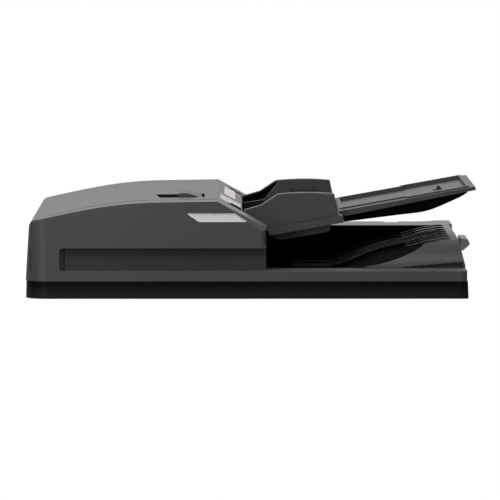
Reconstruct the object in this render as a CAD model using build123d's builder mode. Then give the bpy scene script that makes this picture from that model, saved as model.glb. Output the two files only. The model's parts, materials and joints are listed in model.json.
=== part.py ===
"""Sheet fed scanner unit: an overhead document feeder with its own image sensors.

Millimetres. +X is to the right seen from the front, +Y runs to the back and +Z is up.
The origin is the centre of the underside.
"""
from build123d import *
from math import atan, cos, degrees, hypot, pi, radians, sin, tan
import os

os.makedirs("parts", exist_ok=True)

# ---------------------------------------------------------------- driving dimensions
WIDTH = 600.0
DEPTH = 510.0
FRONT = -DEPTH / 2
BACK = DEPTH / 2
RIGHT = WIDTH / 2
WALL = 3.0
PLATE = 2.0                 # sheet metal side frames
RUN = 0.05                  # radial running clearance of shafts
GAP = 1.0                   # parting gap between casings

BASE_LOW = 1.5              # underside of the base rim
BASE_TOP = 25.0
FLOOR_LOW = 6.0             # base floor plate, above the platen pad
FLOOR_TOP = 9.0
BAND_TOP = 39.0             # ledge around the exit tray

BODY_RIGHT = 26.0           # right wall of the feeder housing
CREASE = (-40.0, 133.3)     # where the flat top turns down into the slanted panel
SLANT_END = (BODY_RIGHT, 97.7)
LID_AXIS = (-286.0, 98.5)   # hinge axis of the top cover, and centre of its rounded nose
NOSE_R = 9.0
PANEL_END = -6.6            # lower end of the slanted panel, above the paper inlet
SLOT_START = -26.0          # the panel is narrower from here to its lower end
SLOT_WIDTH = 21.0
BODY_LEFT = -300.0          # foot of the left wall, which leans inwards to the hinge

TOP_SEAM_FRONT = -203.0
TOP_SEAM_BACK = 218.0
SLANT_SEAM_FRONT = -174.0
SLANT_SEAM_BACK = 195.0

PAPER_MID = 10.0            # centre of the paper path
FRAME_FRONT = -185.0        # inner faces of the two side frames
FRAME_BACK = 205.0

DRUM = (-200.0, 59.0)
DRUM_R = 29.8
FEED = (-68.0, 102.2)
FEED_R = 13.0
PICKUP = (-28.0, 104.0)
PICKUP_R = 11.0
SEPARATION = (-68.0, 77.8)
SEPARATION_R = 11.0
REGISTER = (-130.0, 78.8)
REGISTER_R = 10.0
REGISTER_PINCH = (-130.0, 96.2)
PINCH_R = 7.0
DRUM_PINCH = (-238.4, 59.0)
DRUM_PINCH_R = 8.0
EXIT = (6.0, 35.0)
EXIT_R = 8.0
EXIT_PINCH = (6.0, 49.2)
EXIT_PINCH_R = 6.0
SENSOR_LOW_X = -148.0
SENSOR_HIGH_X = -100.0
BACKING_R = 7.0

GEAR_MODULE = 1.0
DRUM_TEETH = 60
IDLER_TEETH = 20
MOTOR_TEETH = 15
BELT_PITCH = 2.0
BELT_T = 1.0

TRAY_ANGLE = 10.17          # slope of the feed tray, in degrees
TRAY_CORNER = (28.9, 90.5)  # a point of the tray deck's surface, seen from the front
TRAY_FRONT = -162.0
TRAY_BACK = 182.0
TRAY_PIVOT = (15.0, 84.0)
EXTENSION_FRONT = -130.0
EXTENSION_BACK = 150.0

# ---------------------------------------------------------------- helpers


def facing(y):
    """Plane at depth y, seen from the front: x is +X, y is +Z, extrusion runs to the front."""
    return Plane.XZ.offset(-y)


def outline(points, y):
    """Closed outline with straight sides, standing in the plane at depth y."""
    with BuildSketch(facing(y)) as face:
        with BuildLine():
            Polyline(*points, close=True)
        make_face()
    return face.sketch


def discs(centres, radius, y):
    """Round faces about axes that run from front to back, standing at depth y."""
    with BuildSketch(facing(y)) as face:
        with Locations(*centres):
            Circle(radius)
    return face.sketch


def rod(centre, radius, y_low, y_high):
    """Solid shaft along Y."""
    with BuildPart() as piece:
        extrude(discs([centre], radius, y_high), amount=y_high - y_low)
    return piece.part


def sleeves(centre, radius, bore, spans):
    """Round sleeves on one axis along Y, one for each (y_low, y_high) span."""
    with BuildPart() as piece:
        for y_low, y_high in spans:
            extrude(discs([centre], radius, y_high), amount=y_high - y_low)
            extrude(discs([centre], bore, y_high), amount=y_high - y_low, mode=Mode.SUBTRACT)
    return piece.part


def pulley_radius(teeth):
    """Pitch radius of a timing pulley."""
    return teeth * BELT_PITCH / (2 * pi)


def pulley(centre, teeth, bore, y_low, y_high):
    """Flanged pulley; its flanges are 0.8 mm thick and stand 1.6 mm above the belt's seat."""
    seat = pulley_radius(teeth)
    with BuildPart() as piece:
        extrude(discs([centre], seat, y_high), amount=y_high - y_low)
        extrude(discs([centre], seat + 1.6, y_high), amount=0.8)
        extrude(discs([centre], seat + 1.6, y_low + 0.8), amount=0.8)
        extrude(discs([centre], bore, y_high), amount=y_high - y_low, mode=Mode.SUBTRACT)
    return piece.part


def hull_of_two(first, first_r, second, second_r, y):
    """Outline of a tight loop round two discs."""
    with BuildSketch(facing(y)) as face:
        with Locations(first):
            Circle(first_r)
        with Locations(second):
            Circle(second_r)
        make_hull()
    return face.sketch


def belt(first, first_teeth, second, second_teeth, y_low, y_high):
    """Closed belt loop round two pulleys, clear of their seats by the running clearance."""
    first_r = pulley_radius(first_teeth) + RUN
    second_r = pulley_radius(second_teeth) + RUN
    with BuildPart() as piece:
        outside = hull_of_two(first, first_r + BELT_T, second, second_r + BELT_T, y_high)
        extrude(outside, amount=y_high - y_low)
        inside = hull_of_two(first, first_r, second, second_r, y_high)
        extrude(inside, amount=y_high - y_low, mode=Mode.SUBTRACT)
    return piece.part


def involute_gear(plane, centre, teeth, bore, width, phase=0.0):
    """Spur gear with involute flanks and a little backlash; phase turns its first tooth."""
    pitch_r = teeth * GEAR_MODULE / 2
    base_r = pitch_r * cos(radians(20))
    tip_r = pitch_r + 0.95 * GEAR_MODULE
    root_r = pitch_r - 1.25 * GEAR_MODULE
    start_r = max(base_r, root_r)

    def roll(radius):
        pressure = (radius / base_r) ** 2 - 1
        return pressure ** 0.5 - atan(max(pressure, 0) ** 0.5)

    half_tooth = pi / (2 * teeth) - 0.05 / pitch_r + roll(pitch_r)
    flank = []
    for step in range(5):
        radius = start_r + (tip_r - start_r) * step / 4
        angle = half_tooth - roll(max(radius, base_r))
        flank.append((radius * cos(angle), radius * sin(angle)))
    mirrored = [(x, -y) for x, y in flank]
    root_in = (root_r * 0.97 * cos(half_tooth), root_r * 0.97 * sin(half_tooth))
    with BuildSketch() as tooth:
        with BuildLine():
            Polyline(*flank)
            Line(flank[-1], mirrored[-1])
            Polyline(*mirrored)
            Polyline(mirrored[0], (root_in[0], -root_in[1]), root_in, flank[0])
        make_face()
    with BuildPart() as piece:
        with BuildSketch(plane):
            with Locations(centre):
                Circle(root_r)
                with PolarLocations(0, teeth, start_angle=phase):
                    add(tooth.sketch)
            with Locations(centre):
                Circle(bore, mode=Mode.SUBTRACT)
        extrude(amount=width)
    return piece.part


def mesh_phase(direction, teeth, phase, mate_teeth):
    """Phase of a gear that meshes with another one, which lies in this direction from it."""
    ahead = (phase - direction) % (360 / teeth)
    return direction + 180 - ahead * teeth / mate_teeth + 180 / mate_teeth


def around_paper(*offsets, width):
    """Spans of one width, centred at these distances from the middle of the paper."""
    return [(PAPER_MID + o - width / 2, PAPER_MID + o + width / 2) for o in offsets]


def slant_height(x):
    """Height of the slanted panel's outer face at x."""
    slope = (SLANT_END[1] - CREASE[1]) / (SLANT_END[0] - CREASE[0])
    return CREASE[1] + slope * (x - CREASE[0])


# ---------------------------------------------------------------- feeder housing blank
TOP_CURVE = [(-222.0, 121.3, 0.2), (-185.7, 127.3, 0.135), (-149.5, 130.9, 0.065),
             (-118.0, 132.1, 0.016)]      # x, z and slope along the curved part of the top
NOSE_SLOPE = 0.22


def mitred(before, corner, after, inset):
    """Corner of an outline that runs clockwise, moved inwards by a wall thickness."""
    first = (Vector(*corner) - Vector(*before)).normalized()
    second = (Vector(*after) - Vector(*corner)).normalized()
    normal_sum = Vector(first.Y + second.Y, -first.X - second.X)
    scale = inset / (1 + first.dot(second))
    return (corner[0] + normal_sum.X * scale, corner[1] + normal_sum.Y * scale)


def housing_outline(inset, y):
    """Side view of the feeder housing, with its walls moved inwards by inset."""
    curve = []
    for x, z, slope in TOP_CURVE:
        length = hypot(1, slope)
        curve.append((x + inset * slope / length, z - inset / length))
    flat_start = TOP_CURVE[-1][:2]
    foot = (BODY_RIGHT, BASE_TOP)
    crease = mitred(flat_start, CREASE, SLANT_END, inset)
    slant_end = mitred(CREASE, SLANT_END, foot, inset)
    nose_end = 90 + degrees(atan(NOSE_SLOPE))
    with BuildSketch(facing(y)) as face:
        with BuildLine():
            nose = CenterArc(LID_AXIS, NOSE_R - inset, nose_end, 180 - nose_end)
            Spline(nose @ 0, *curve, tangents=[(1, NOSE_SLOPE), (1, TOP_CURVE[-1][2])])
            Polyline(curve[-1], crease, slant_end, (BODY_RIGHT - inset, BASE_TOP),
                     (BODY_LEFT + inset, BASE_TOP), nose @ 1)
        make_face()
    return face.sketch


CORNER_LEFT_R = 28.0
CORNER_RIGHT_R = 8.0
FACET_LOW = 89.9            # where the facet meets the front face at its lower end
FACET_WIDTH = 8.0


def housing_plan(inset):
    """Plan of the housing: wide round corners at the left, small ones towards the exit tray."""
    left = BODY_LEFT + inset
    right = BODY_RIGHT - inset
    half = BACK - inset
    with BuildSketch() as plan:
        with Locations(((left + right) / 2, 0)):
            Rectangle(right - left, 2 * half)
        fillet(plan.vertices().group_by(Axis.X)[0], CORNER_LEFT_R - inset)
        fillet(plan.vertices().group_by(Axis.X)[-1], CORNER_RIGHT_R - inset)
    return plan.sketch


def corner_facet(side, inset):
    """Plane of the facet between the slanted panel's edge and the front or back face."""
    face_y = side * (BACK - inset)
    top = Vector(CREASE[0], face_y, CREASE[1] - inset)
    low = Vector(BODY_RIGHT, face_y, FACET_LOW - inset)
    inner = Vector(BODY_RIGHT, face_y - side * FACET_WIDTH, SLANT_END[1] - inset)
    normal = (low - top).cross(inner - top)
    if normal.Z < 0:
        normal = normal * -1
    return Plane(origin=top, x_dir=low - top, z_dir=normal)


with BuildPart() as housing:
    extrude(housing_outline(0, BACK), amount=DEPTH)
    extrude(housing_plan(0), amount=200, mode=Mode.INTERSECT)
    split(bisect_by=corner_facet(-1, 0), keep=Keep.BOTTOM)
    split(bisect_by=corner_facet(1, 0), keep=Keep.BOTTOM)

with BuildPart() as housing_inside:
    extrude(housing_outline(WALL, BACK - WALL), amount=DEPTH - 2 * WALL)
    extrude(housing_plan(WALL), amount=200, mode=Mode.INTERSECT)
    split(bisect_by=corner_facet(-1, WALL), keep=Keep.BOTTOM)
    split(bisect_by=corner_facet(1, WALL), keep=Keep.BOTTOM)

with BuildPart() as shell:
    add(housing.part)
    add(housing_inside.part, mode=Mode.SUBTRACT)

# ---------------------------------------------------------------- casings
FAR = 400.0                 # reach of cutting blocks
NOSE_CUT = 91.0             # top edge of the left wall, under the lid's nose
SLANT_LIP = 12.0
RECESS = (-254.0, 39.2, 69.9, 10.0)  # left end, low edge, high edge and depth
RECESS_SLANT = 7.4          # how far the left end slants in over that depth
LATCH = (-66.0, 124.0)
POCKET_FLOOR = 120.0
COVER_SCREWS = [(-284, 70), (-120, 36), (-120, 110), (10, 36), (10, 80)]
CABLE_EXIT = (-140.0, 52.0)
WINDOW_LOW = 105.3
WINDOW_HIGH = 117.3


def block(x_low, x_high, y_low, y_high, z_low, z_high):
    """Box between three pairs of limits."""
    with BuildPart() as piece:
        with Locations(((x_low + x_high) / 2, (y_low + y_high) / 2, (z_low + z_high) / 2)):
            Box(x_high - x_low, y_high - y_low, z_high - z_low)
    return piece.part


def seam_flange(y_out, y_web, y_in):
    """Rebate under the edge of the top cover: a web at the seam and a flange under the cover."""
    low, high = sorted((y_out, y_in))
    with BuildPart() as piece:
        extrude(housing_outline(4.0, high), amount=high - low)
        low, high = sorted((y_out, y_web))
        extrude(housing_outline(1.5, high), amount=high - low)
        low, high = sorted((y_out, y_in))
        extrude(housing_outline(6.0, high), amount=high - low, mode=Mode.SUBTRACT)
        add(block(-266, -42, -FAR, FAR, 90, 200), mode=Mode.INTERSECT)
    return piece.part


def window_outline(shrink, y):
    """Slanted window in the front wall, above the recess."""
    with BuildSketch(facing(y)) as face:
        with BuildLine():
            Polyline((-82.5, WINDOW_HIGH), (-16.6, WINDOW_HIGH), (1.6, WINDOW_LOW),
                     (-67.5, WINDOW_LOW), close=True)
        make_face()
        fillet(face.vertices().group_by(Axis.Y)[0].sort_by(Axis.X)[0], 9.0)
        if shrink:
            offset(amount=-shrink, kind=Kind.INTERSECTION)
    return face.sketch


def band_plan(inset):
    """Plan of the ledge that runs along the front, below the exit tray."""
    with BuildSketch() as plan:
        with BuildLine():
            Polyline((6 + inset, FRONT + inset), (298 - inset, FRONT + inset),
                     (298 - inset, -198 - inset), (6 + inset, -198 - inset), close=True)
        make_face()
        corner = plan.vertices().group_by(Axis.Y)[0].sort_by(Axis.X)[-1]
        fillet(corner, CORNER_RIGHT_R - inset)
    return plan.sketch


def recess_pocket():
    """Space of the finger recess: square edges, a slanted left end and an open right end."""
    left, low, high, deep = RECESS
    reach = RIGHT - left
    with BuildPart() as space:
        with BuildSketch(facing(FRONT + deep)) as recess:
            with Locations((left + reach / 2, (low + high) / 2)):
                Rectangle(reach, high - low)
            fillet(recess.vertices().group_by(Axis.X)[0], 4.0)
        extrude(amount=deep)
        with BuildSketch():
            with BuildLine():
                Polyline((left, FRONT), (left + RECESS_SLANT, FRONT + deep),
                         (RIGHT, FRONT + deep), (RIGHT, FRONT), close=True)
            make_face()
        extrude(amount=high + 1, mode=Mode.INTERSECT)
    return space.part


recess_space = recess_pocket()

with BuildPart() as front_cover:
    add(shell.part)
    add(block(-FAR, FAR, TOP_SEAM_FRONT, FAR, -FAR, FAR), mode=Mode.SUBTRACT)
    add(seam_flange(-208, TOP_SEAM_FRONT, -196))
    add(shell.part & block(CREASE[0], FAR, -204, SLANT_SEAM_FRONT, -FAR, FAR))
    lip = outline([(CREASE[0], CREASE[1] - 1), (BODY_RIGHT - 1, SLANT_END[1] - 1),
                   (BODY_RIGHT - 1, SLANT_END[1] - SLANT_LIP),
                   (CREASE[0], CREASE[1] - SLANT_LIP)], SLANT_SEAM_FRONT)
    extrude(lip, amount=2.5)
    # finger recess: its back wall, then the pocket itself, open towards the exit tray
    left, low, high, deep = RECESS
    add(block(left - WALL, BODY_RIGHT, FRONT + 1, FRONT + deep + WALL, low - WALL, high + WALL))
    add(recess_space, mode=Mode.SUBTRACT)
    # band and ledge below the exit tray
    extrude(band_plan(0).moved(Location((0, 0, BASE_TOP))), amount=BAND_TOP - BASE_TOP)
    extrude(band_plan(WALL).moved(Location((0, 0, BASE_TOP))), amount=BAND_TOP - BASE_TOP - WALL,
            mode=Mode.SUBTRACT)
    extrude(window_outline(0, FRONT + 20), amount=40, mode=Mode.SUBTRACT)

with BuildPart() as indicator_window:
    extrude(window_outline(0.1, FRONT + 2.5), amount=2.5)


with BuildPart() as rear_cover:
    add(shell.part)
    add(block(-FAR, FAR, -FAR, TOP_SEAM_BACK + GAP, -FAR, FAR), mode=Mode.SUBTRACT)
    add(seam_flange(224, TOP_SEAM_BACK + GAP, 212))
    add(shell.part & block(CREASE[0], FAR, SLANT_SEAM_BACK, TOP_SEAM_BACK + 2, -FAR, FAR))
    lip = outline([(CREASE[0], CREASE[1] - 1), (BODY_RIGHT - 1, SLANT_END[1] - 1),
                   (BODY_RIGHT - 1, SLANT_END[1] - SLANT_LIP),
                   (CREASE[0], CREASE[1] - SLANT_LIP)], SLANT_SEAM_BACK + 2.5)
    extrude(lip, amount=2.5)
    # vent slots, screw holes and the cable outlet
    with BuildSketch(facing(BACK + 1)):
        with Locations((-235, 52)):
            with GridLocations(9, 0, 9, 1):
                SlotCenterToCenter(26, 3.2, rotation=90)
    extrude(amount=10, mode=Mode.SUBTRACT)
    with Locations(*[Location((x, BACK, z), (-90, 0, 0)) for x, z in COVER_SCREWS]):
        CounterBoreHole(1.7, 4.0, 2.0, depth=10)
    extrude(discs([CABLE_EXIT], 6.0, BACK + 1), amount=10, mode=Mode.SUBTRACT)

with BuildPart() as left_cover:
    add(shell.part)
    add(block(-FAR, -270, TOP_SEAM_FRONT + 0.5, TOP_SEAM_BACK + 0.5, -FAR, NOSE_CUT),
        mode=Mode.INTERSECT)

with BuildPart() as exit_panel:
    add(block(BODY_RIGHT - WALL, BODY_RIGHT, SLANT_SEAM_FRONT + 0.5, SLANT_SEAM_BACK - 0.5, 28.5, 74))
    add(block(BODY_RIGHT - 14, BODY_RIGHT, SLANT_SEAM_FRONT + 0.5, SLANT_SEAM_BACK - 0.5, 71, 74))
    add(block(0, BODY_RIGHT + 1, PAPER_MID - 158, PAPER_MID + 158, 39.5, 48.5), mode=Mode.SUBTRACT)
    fillet(exit_panel.edges().filter_by(Axis.Y).group_by(Axis.Z)[-1].sort_by(Axis.X)[-1], 1.5)

# top cover: skin, hinge nose, lever pocket and the two shaft lugs
LIP_T = 1.1                 # height of the thin lower lip of the slanted panel
POCKET = [(-126.0, -78.0), (-119.0, -153.0), (-58.0, -153.0), (-58.0, -78.0)]

with BuildPart() as top_cover:
    add(shell.part)
    add(block(-FAR, PANEL_END, TOP_SEAM_FRONT + GAP, TOP_SEAM_BACK, LID_AXIS[1] + 0.1, FAR),
        mode=Mode.INTERSECT)
    add(block(CREASE[0], FAR, -FAR, SLANT_SEAM_FRONT + GAP, -FAR, FAR), mode=Mode.SUBTRACT)
    add(block(CREASE[0], FAR, SLANT_SEAM_BACK - GAP, FAR, -FAR, FAR), mode=Mode.SUBTRACT)
    for edge, side in [(SLANT_SEAM_FRONT + SLOT_WIDTH, -1), (SLANT_SEAM_BACK - SLOT_WIDTH, 1)]:
        low, high = sorted((edge, side * FAR))
        add(block(SLOT_START, FAR, low, high, -FAR, FAR), mode=Mode.SUBTRACT)
        low, high = sorted((edge, edge - side * 4))
        add(block(SLOT_START - 2, SLOT_START + 4, low, high, -FAR, FAR), mode=Mode.SUBTRACT)
    # the panel's lower lip is thinned from beneath, to clear the width guides
    relief = outline([(-18, 105), (-18, slant_height(-18) - 3.4),
                      (PANEL_END, slant_height(PANEL_END) - LIP_T),
                      (PANEL_END + 1, slant_height(PANEL_END) - LIP_T - 0.5),
                      (PANEL_END + 1, 105)], SLANT_SEAM_BACK)
    extrude(relief, amount=SLANT_SEAM_BACK - SLANT_SEAM_FRONT, mode=Mode.SUBTRACT)
    nose_length = TOP_SEAM_BACK - TOP_SEAM_FRONT - GAP
    extrude(discs([LID_AXIS], NOSE_R, TOP_SEAM_BACK), amount=nose_length)
    extrude(discs([LID_AXIS], 2.5, TOP_SEAM_BACK), amount=nose_length, mode=Mode.SUBTRACT)
    with BuildSketch(Plane.XY.offset(POCKET_FLOOR - 2)):
        with BuildLine():
            Polyline(*POCKET, close=True)
        make_face()
        offset(amount=2, kind=Kind.INTERSECTION)
    extrude(amount=10.5)
    for y_low in (-179.0, 196.0):
        lug = outline([(-76, 131), (-72, 117), (-60, 117), (-56, 131)], y_low + 3)
        extrude(lug, amount=3)
    with BuildSketch(Plane.XY.offset(POCKET_FLOOR)):
        with BuildLine():
            Polyline(*POCKET, close=True)
        make_face()
    extrude(amount=30, mode=Mode.SUBTRACT)
    extrude(discs([LATCH], 3.0 + RUN, FAR), amount=2 * FAR, mode=Mode.SUBTRACT)

with BuildPart() as lid_hinge_pins:
    for y_low in (-214.0, TOP_SEAM_BACK - 14):
        extrude(discs([LID_AXIS], 2.48, y_low + 27), amount=27)

with BuildPart() as lid_brackets:
    for y_low in (-212.0, 222.0):
        upright = outline([(-291, 98.5), (-292.5, FLOOR_TOP), (-274.5, FLOOR_TOP), (-281, 98.5)],
                          y_low + 6)
        extrude(upright, amount=6)
        extrude(discs([LID_AXIS], 5.2, y_low + 6), amount=6)
        add(block(-292.5, -264.5, y_low, y_low + 6, FLOOR_TOP, FLOOR_TOP + 4))
    extrude(discs([LID_AXIS], 2.5 + RUN, FAR), amount=2 * FAR, mode=Mode.SUBTRACT)

# ---------------------------------------------------------------- base and platen pad
HINGE_X = (-200.0, 200.0)
HINGE_AXIS = (243.0, 12.0)  # y and z of the rear hinges
NOTCH = 32.0


def base_plan(inset):
    """Plan of the base, rounder at the left end."""
    with BuildSketch() as plan:
        Rectangle(WIDTH - 2 * inset, DEPTH - 2 * inset)
        fillet(plan.vertices().group_by(Axis.X)[0], 30.0 - inset)
        fillet(plan.vertices().group_by(Axis.X)[-1], 9.0 - inset / 2)
    return plan.sketch


BASE_DRAFT = 2.0            # degrees
GROOVE_H = 1.2              # shadow groove under the casings
GROOVE_IN = 1.5

with BuildPart() as base_frame:
    extrude(base_plan(0).moved(Location((0, 0, BASE_LOW))), amount=BASE_TOP - BASE_LOW,
            taper=BASE_DRAFT)
    extrude(base_plan(WALL).moved(Location((0, 0, FLOOR_TOP))), amount=BASE_TOP, mode=Mode.SUBTRACT)
    extrude(base_plan(6).moved(Location((0, 0, 0))), amount=FLOOR_LOW, mode=Mode.SUBTRACT)
    for x in (60.0, 140.0, 220.0):
        add(block(x - 1.2, x + 1.2, FRONT + 1, 222, FLOOR_TOP - 1, BASE_TOP))
    for y in (-170.0, -60.0, 60.0, 170.0):
        add(block(30, RIGHT - 1, y - 1.2, y + 1.2, FLOOR_TOP - 1, BASE_TOP))
    for x in HINGE_X:
        add(block(x - NOTCH - WALL, x + NOTCH + WALL, 222, BACK, BASE_LOW, BASE_TOP))
        add(block(x - NOTCH, x + NOTCH, 225, BACK + 1, 0, BASE_TOP - WALL), mode=Mode.SUBTRACT)
    with BuildSketch(Plane.XY.offset(BASE_TOP - GROOVE_H)):
        add(base_plan(-GROOVE_IN))
        add(base_plan(GROOVE_IN), mode=Mode.SUBTRACT)
    extrude(amount=GROOVE_H, mode=Mode.SUBTRACT)

PAD_X = -20.0
with BuildPart() as platen_foam:
    with Locations((PAD_X, 0, 0.8)):
        Box(460, 330, FLOOR_LOW - 0.8, align=(Align.CENTER, Align.CENTER, Align.MIN))
    fillet(platen_foam.edges().filter_by(Axis.Z), 4)

with BuildPart() as platen_sheet:
    with Locations((PAD_X, 0, 0)):
        Box(462, 332, 0.8, align=(Align.CENTER, Align.CENTER, Align.MIN))
    fillet(platen_sheet.edges().filter_by(Axis.Z), 5)

# rear hinges: a bracket and pin under the roof of each notch, and a leaf that bolts down
with BuildPart() as hinge_brackets:
    for x in HINGE_X:
        add(block(x - 28, x + 28, 228, 254, 19.5, BASE_TOP - WALL))
        for low, high in [(x - 26, x - 21), (x + 21, x + 26)]:
            with BuildSketch(Plane.YZ.offset(low)):
                with Locations(HINGE_AXIS):
                    Circle(5.5)
                with Locations((HINGE_AXIS[0], 17)):
                    Rectangle(11, 9)
            extrude(amount=high - low)
        with BuildSketch(Plane.YZ.offset(x - 28)):
            with Locations(HINGE_AXIS):
                Circle(2.98)
        extrude(amount=56)
    add(lid_brackets.part)


# each leaf has a knuckle round its pin and a foot with four bolt holes
with BuildPart() as hinge_leaves:
    for x in HINGE_X:
        with BuildSketch(Plane.YZ.offset(x - 20)):
            with Locations(HINGE_AXIS):
                Circle(5.5)
            with Locations((HINGE_AXIS[0], 5)):
                Rectangle(11, 10)
            with Locations(HINGE_AXIS):
                Circle(2.98 + RUN, mode=Mode.SUBTRACT)
        extrude(amount=40)
        add(block(x - 28, x + 28, 236, 296, 0, 3))
        with Locations((x, 276, 3)):
            with GridLocations(40, 20, 2, 2):
                Hole(2.75, depth=3)
    fillet(hinge_leaves.edges().filter_by(Axis.Z).group_by(Axis.Y)[-1], 4)

# ---------------------------------------------------------------- exit tray
WELL_FRONT = -197.5
RAIL_FRONT = 172.0
TRAY_SLOPE = [(110, 28), (120, 29.0), (151, 40), (184.5, 53), (223, 62), (250, 69.5), (262, 71.5),
              (284, 73.5)]


def exit_outline(inset, y):
    """Side view of the exit tray: flat floor, rising slope, right rim and leaning right wall."""
    with BuildSketch(facing(y)) as face:
        with BuildLine():
            points = [(x, z - inset) for x, z in TRAY_SLOPE]
            start = (27 + inset, max(28 - inset, BASE_TOP))
            low = max(28 - inset, BASE_TOP)
            Polyline((start[0], BASE_TOP - inset), start, (points[0][0], low))
            Spline((points[0][0], low), *points[1:], tangents=[(1, 0), (1, 0)])
            Polyline(points[-1], (291 - inset, 73.5 - inset), (298 - inset, 43),
                     (298 - inset, BASE_TOP - inset), (start[0], BASE_TOP - inset))
        make_face()
    return face.sketch


def cove(shift):
    """Space in front of the tray's front wall, which curves back as it rises."""
    with BuildSketch(Plane.YZ.offset(20)) as face:
        with BuildLine():
            foot = (WELL_FRONT + shift, 40.5)
            ThreePointArc(foot, (-165 + shift, 55.5), (-149 + shift, 74.5))
            Polyline((-149 + shift, 74.5), (-149 + shift, 90), (-240, 90), (-240, 40.5), foot)
        make_face()
    return face.sketch


with BuildPart() as exit_tray_skin:
    extrude(exit_outline(0, BACK), amount=BACK - WELL_FRONT)
    extrude(cove(0), amount=300, mode=Mode.SUBTRACT)
    rail = outline([(27, 25), (27, 72), (250, 72), (295, 73.5), (298, 43), (298, 25)], BACK)
    extrude(rail, amount=BACK - RAIL_FRONT)
    rail_dip = outline([(198, 80), (200, 71), (221, 71), (223, 80)], BACK + 1)
    extrude(rail_dip, amount=40, mode=Mode.SUBTRACT)
    fillet(exit_tray_skin.edges().filter_by(Axis.Z).group_by(Axis.X)[-1].sort_by(Axis.Y)[-1], 8)

with BuildPart() as exit_hollow:
    extrude(exit_outline(WALL, BACK - WALL), amount=BACK - WELL_FRONT - 2 * WALL)
    extrude(cove(WALL).moved(Location((0, 0, -WALL))), amount=300, mode=Mode.SUBTRACT)
    inner_rail = outline([(30, 20), (30, 69), (250, 69), (292, 70), (295, 43), (295, 20)],
                         BACK - WALL)
    extrude(inner_rail, amount=BACK - RAIL_FRONT - 2 * WALL)

RIB_H = 1.5
with BuildPart() as tray_ribs:
    for y in [PAPER_MID + 24 * k for k in (-2, -1, 0, 1, 2)]:
        extrude(exit_outline(-RIB_H, y + 1), amount=2)
    add(block(60, 272, -FAR, FAR, 27, 90), mode=Mode.INTERSECT)

with BuildPart() as rim_ribs:
    for y in [PAPER_MID + 43 * k for k in (-3, -2, -1, 0, 1, 2, 3)]:
        extrude(exit_outline(-RIB_H, y + 1.5), amount=3)
    add(block(216, 280, -FAR, FAR, 40, 90), mode=Mode.INTERSECT)

# a fold that grows towards the right along the foot of the front wall, with a slot under it
FOLD = [(214, 40.2), (295, 47.0)]
FOLD_FRONT = -198.0
FOLD_DEEP = 5.5
with BuildPart() as fold_rim:
    rim = [FOLD[0], (FOLD[0][0], FOLD[0][1] + 0.8), (FOLD[1][0], FOLD[1][1] + 1.2),
           (FOLD[1][0], 36), (FOLD[0][0], 36)]
    extrude(outline(rim, FOLD_FRONT + 14), amount=14)

with BuildPart() as fold_slot:
    slot = [(FOLD[0][0] - 9, BAND_TOP), FOLD[0], FOLD[1], (RIGHT + 1, FOLD[1][1] + 0.5),
            (RIGHT + 1, BAND_TOP)]
    extrude(outline(slot, FOLD_FRONT + FOLD_DEEP), amount=FOLD_DEEP + 1)

with BuildPart() as exit_tray:
    add(exit_tray_skin.part)
    add(exit_hollow.part, mode=Mode.SUBTRACT)
    add(fold_rim.part)
    add(fold_slot.part, mode=Mode.SUBTRACT)
    add(tray_ribs.part)
    add(rim_ribs.part)
    add(block(229, 310, -30.6, 50.6, 53.4, 58.1), mode=Mode.SUBTRACT)
    add(block(-FAR, FAR, -FAR, FAR, BASE_TOP, FAR), mode=Mode.INTERSECT)

with BuildPart() as exit_extension:
    add(block(232, 299, -30, 50, 54, 57.5))
    grip = outline([(298.5, 50.5), (302.5, 50.5), (312.3, 59.2), (308.8, 66.6), (298.5, 66.6)], 50)
    extrude(grip, amount=80)
    fillet(exit_extension.edges().filter_by(Axis.Y).filter_by_position(Axis.X, 306, 320), 3)

# ---------------------------------------------------------------- side frames and bushes
FRONT_LAYER = (FRAME_FRONT - PLATE, FRAME_FRONT)
BACK_LAYER = (FRAME_BACK, FRAME_BACK + PLATE)
IDLER = (DRUM[0] + 40 * cos(radians(-20)), DRUM[1] + 40 * sin(radians(-20)))
MOTOR = (DRUM[0] + 37.5 * cos(radians(200)), DRUM[1] + 37.5 * sin(radians(200)))
STRIKE = (-42.0, 107.0)
HIGH_BACKING = (SENSOR_LOW_X, 36.4)
LOW_BACKING = (SENSOR_HIGH_X, 21.4)
FRAME_OUTLINE = [(-262, FLOOR_TOP), (-262, 98), (-240, 102), (-110, 116), (-36, 116), (14, 95),
                 (22, 91), (22, FLOOR_TOP)]
BOARD_POSTS = [(-195, 42), (-95, 42), (-195, 86), (-95, 92)]
BUSHED = [(FEED, 4.0), (REGISTER, 4.0), (DRUM, 5.0), (EXIT, 4.0)]
BUSH_WALL = 2.6
BUSH_RIM = 0.5
PLAIN = [(SEPARATION, 3.0), (DRUM_PINCH, 3.0), (EXIT_PINCH, 2.5), (HIGH_BACKING, 3.0),
         (LOW_BACKING, 3.0), (TRAY_PIVOT, 4.0)]
MOTOR_POSTS = [(-256, 60), (-256, 32), (-226, 32)]


def side_frame(y_low, foot_low, foot_high):
    """Sheet steel side frame with its foot flange and every shaft hole."""
    with BuildPart() as frame:
        extrude(outline(FRAME_OUTLINE, y_low + PLATE), amount=PLATE)
        add(block(-262, 22, foot_low, foot_high, FLOOR_TOP, FLOOR_TOP + PLATE))
        for centre, shaft_r in BUSHED:
            extrude(discs([centre], shaft_r + BUSH_WALL + 0.02, y_low + PLATE), amount=PLATE,
                    mode=Mode.SUBTRACT)
        for centre, shaft_r in PLAIN:
            extrude(discs([centre], shaft_r + RUN, y_low + PLATE), amount=PLATE,
                    mode=Mode.SUBTRACT)
        # lightening holes
        with BuildSketch(facing(y_low + PLATE)):
            with Locations((-40, 60), (-98, 62)):
                SlotCenterToCenter(20, 16, rotation=90)
        extrude(amount=PLATE, mode=Mode.SUBTRACT)
    return frame.part


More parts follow.
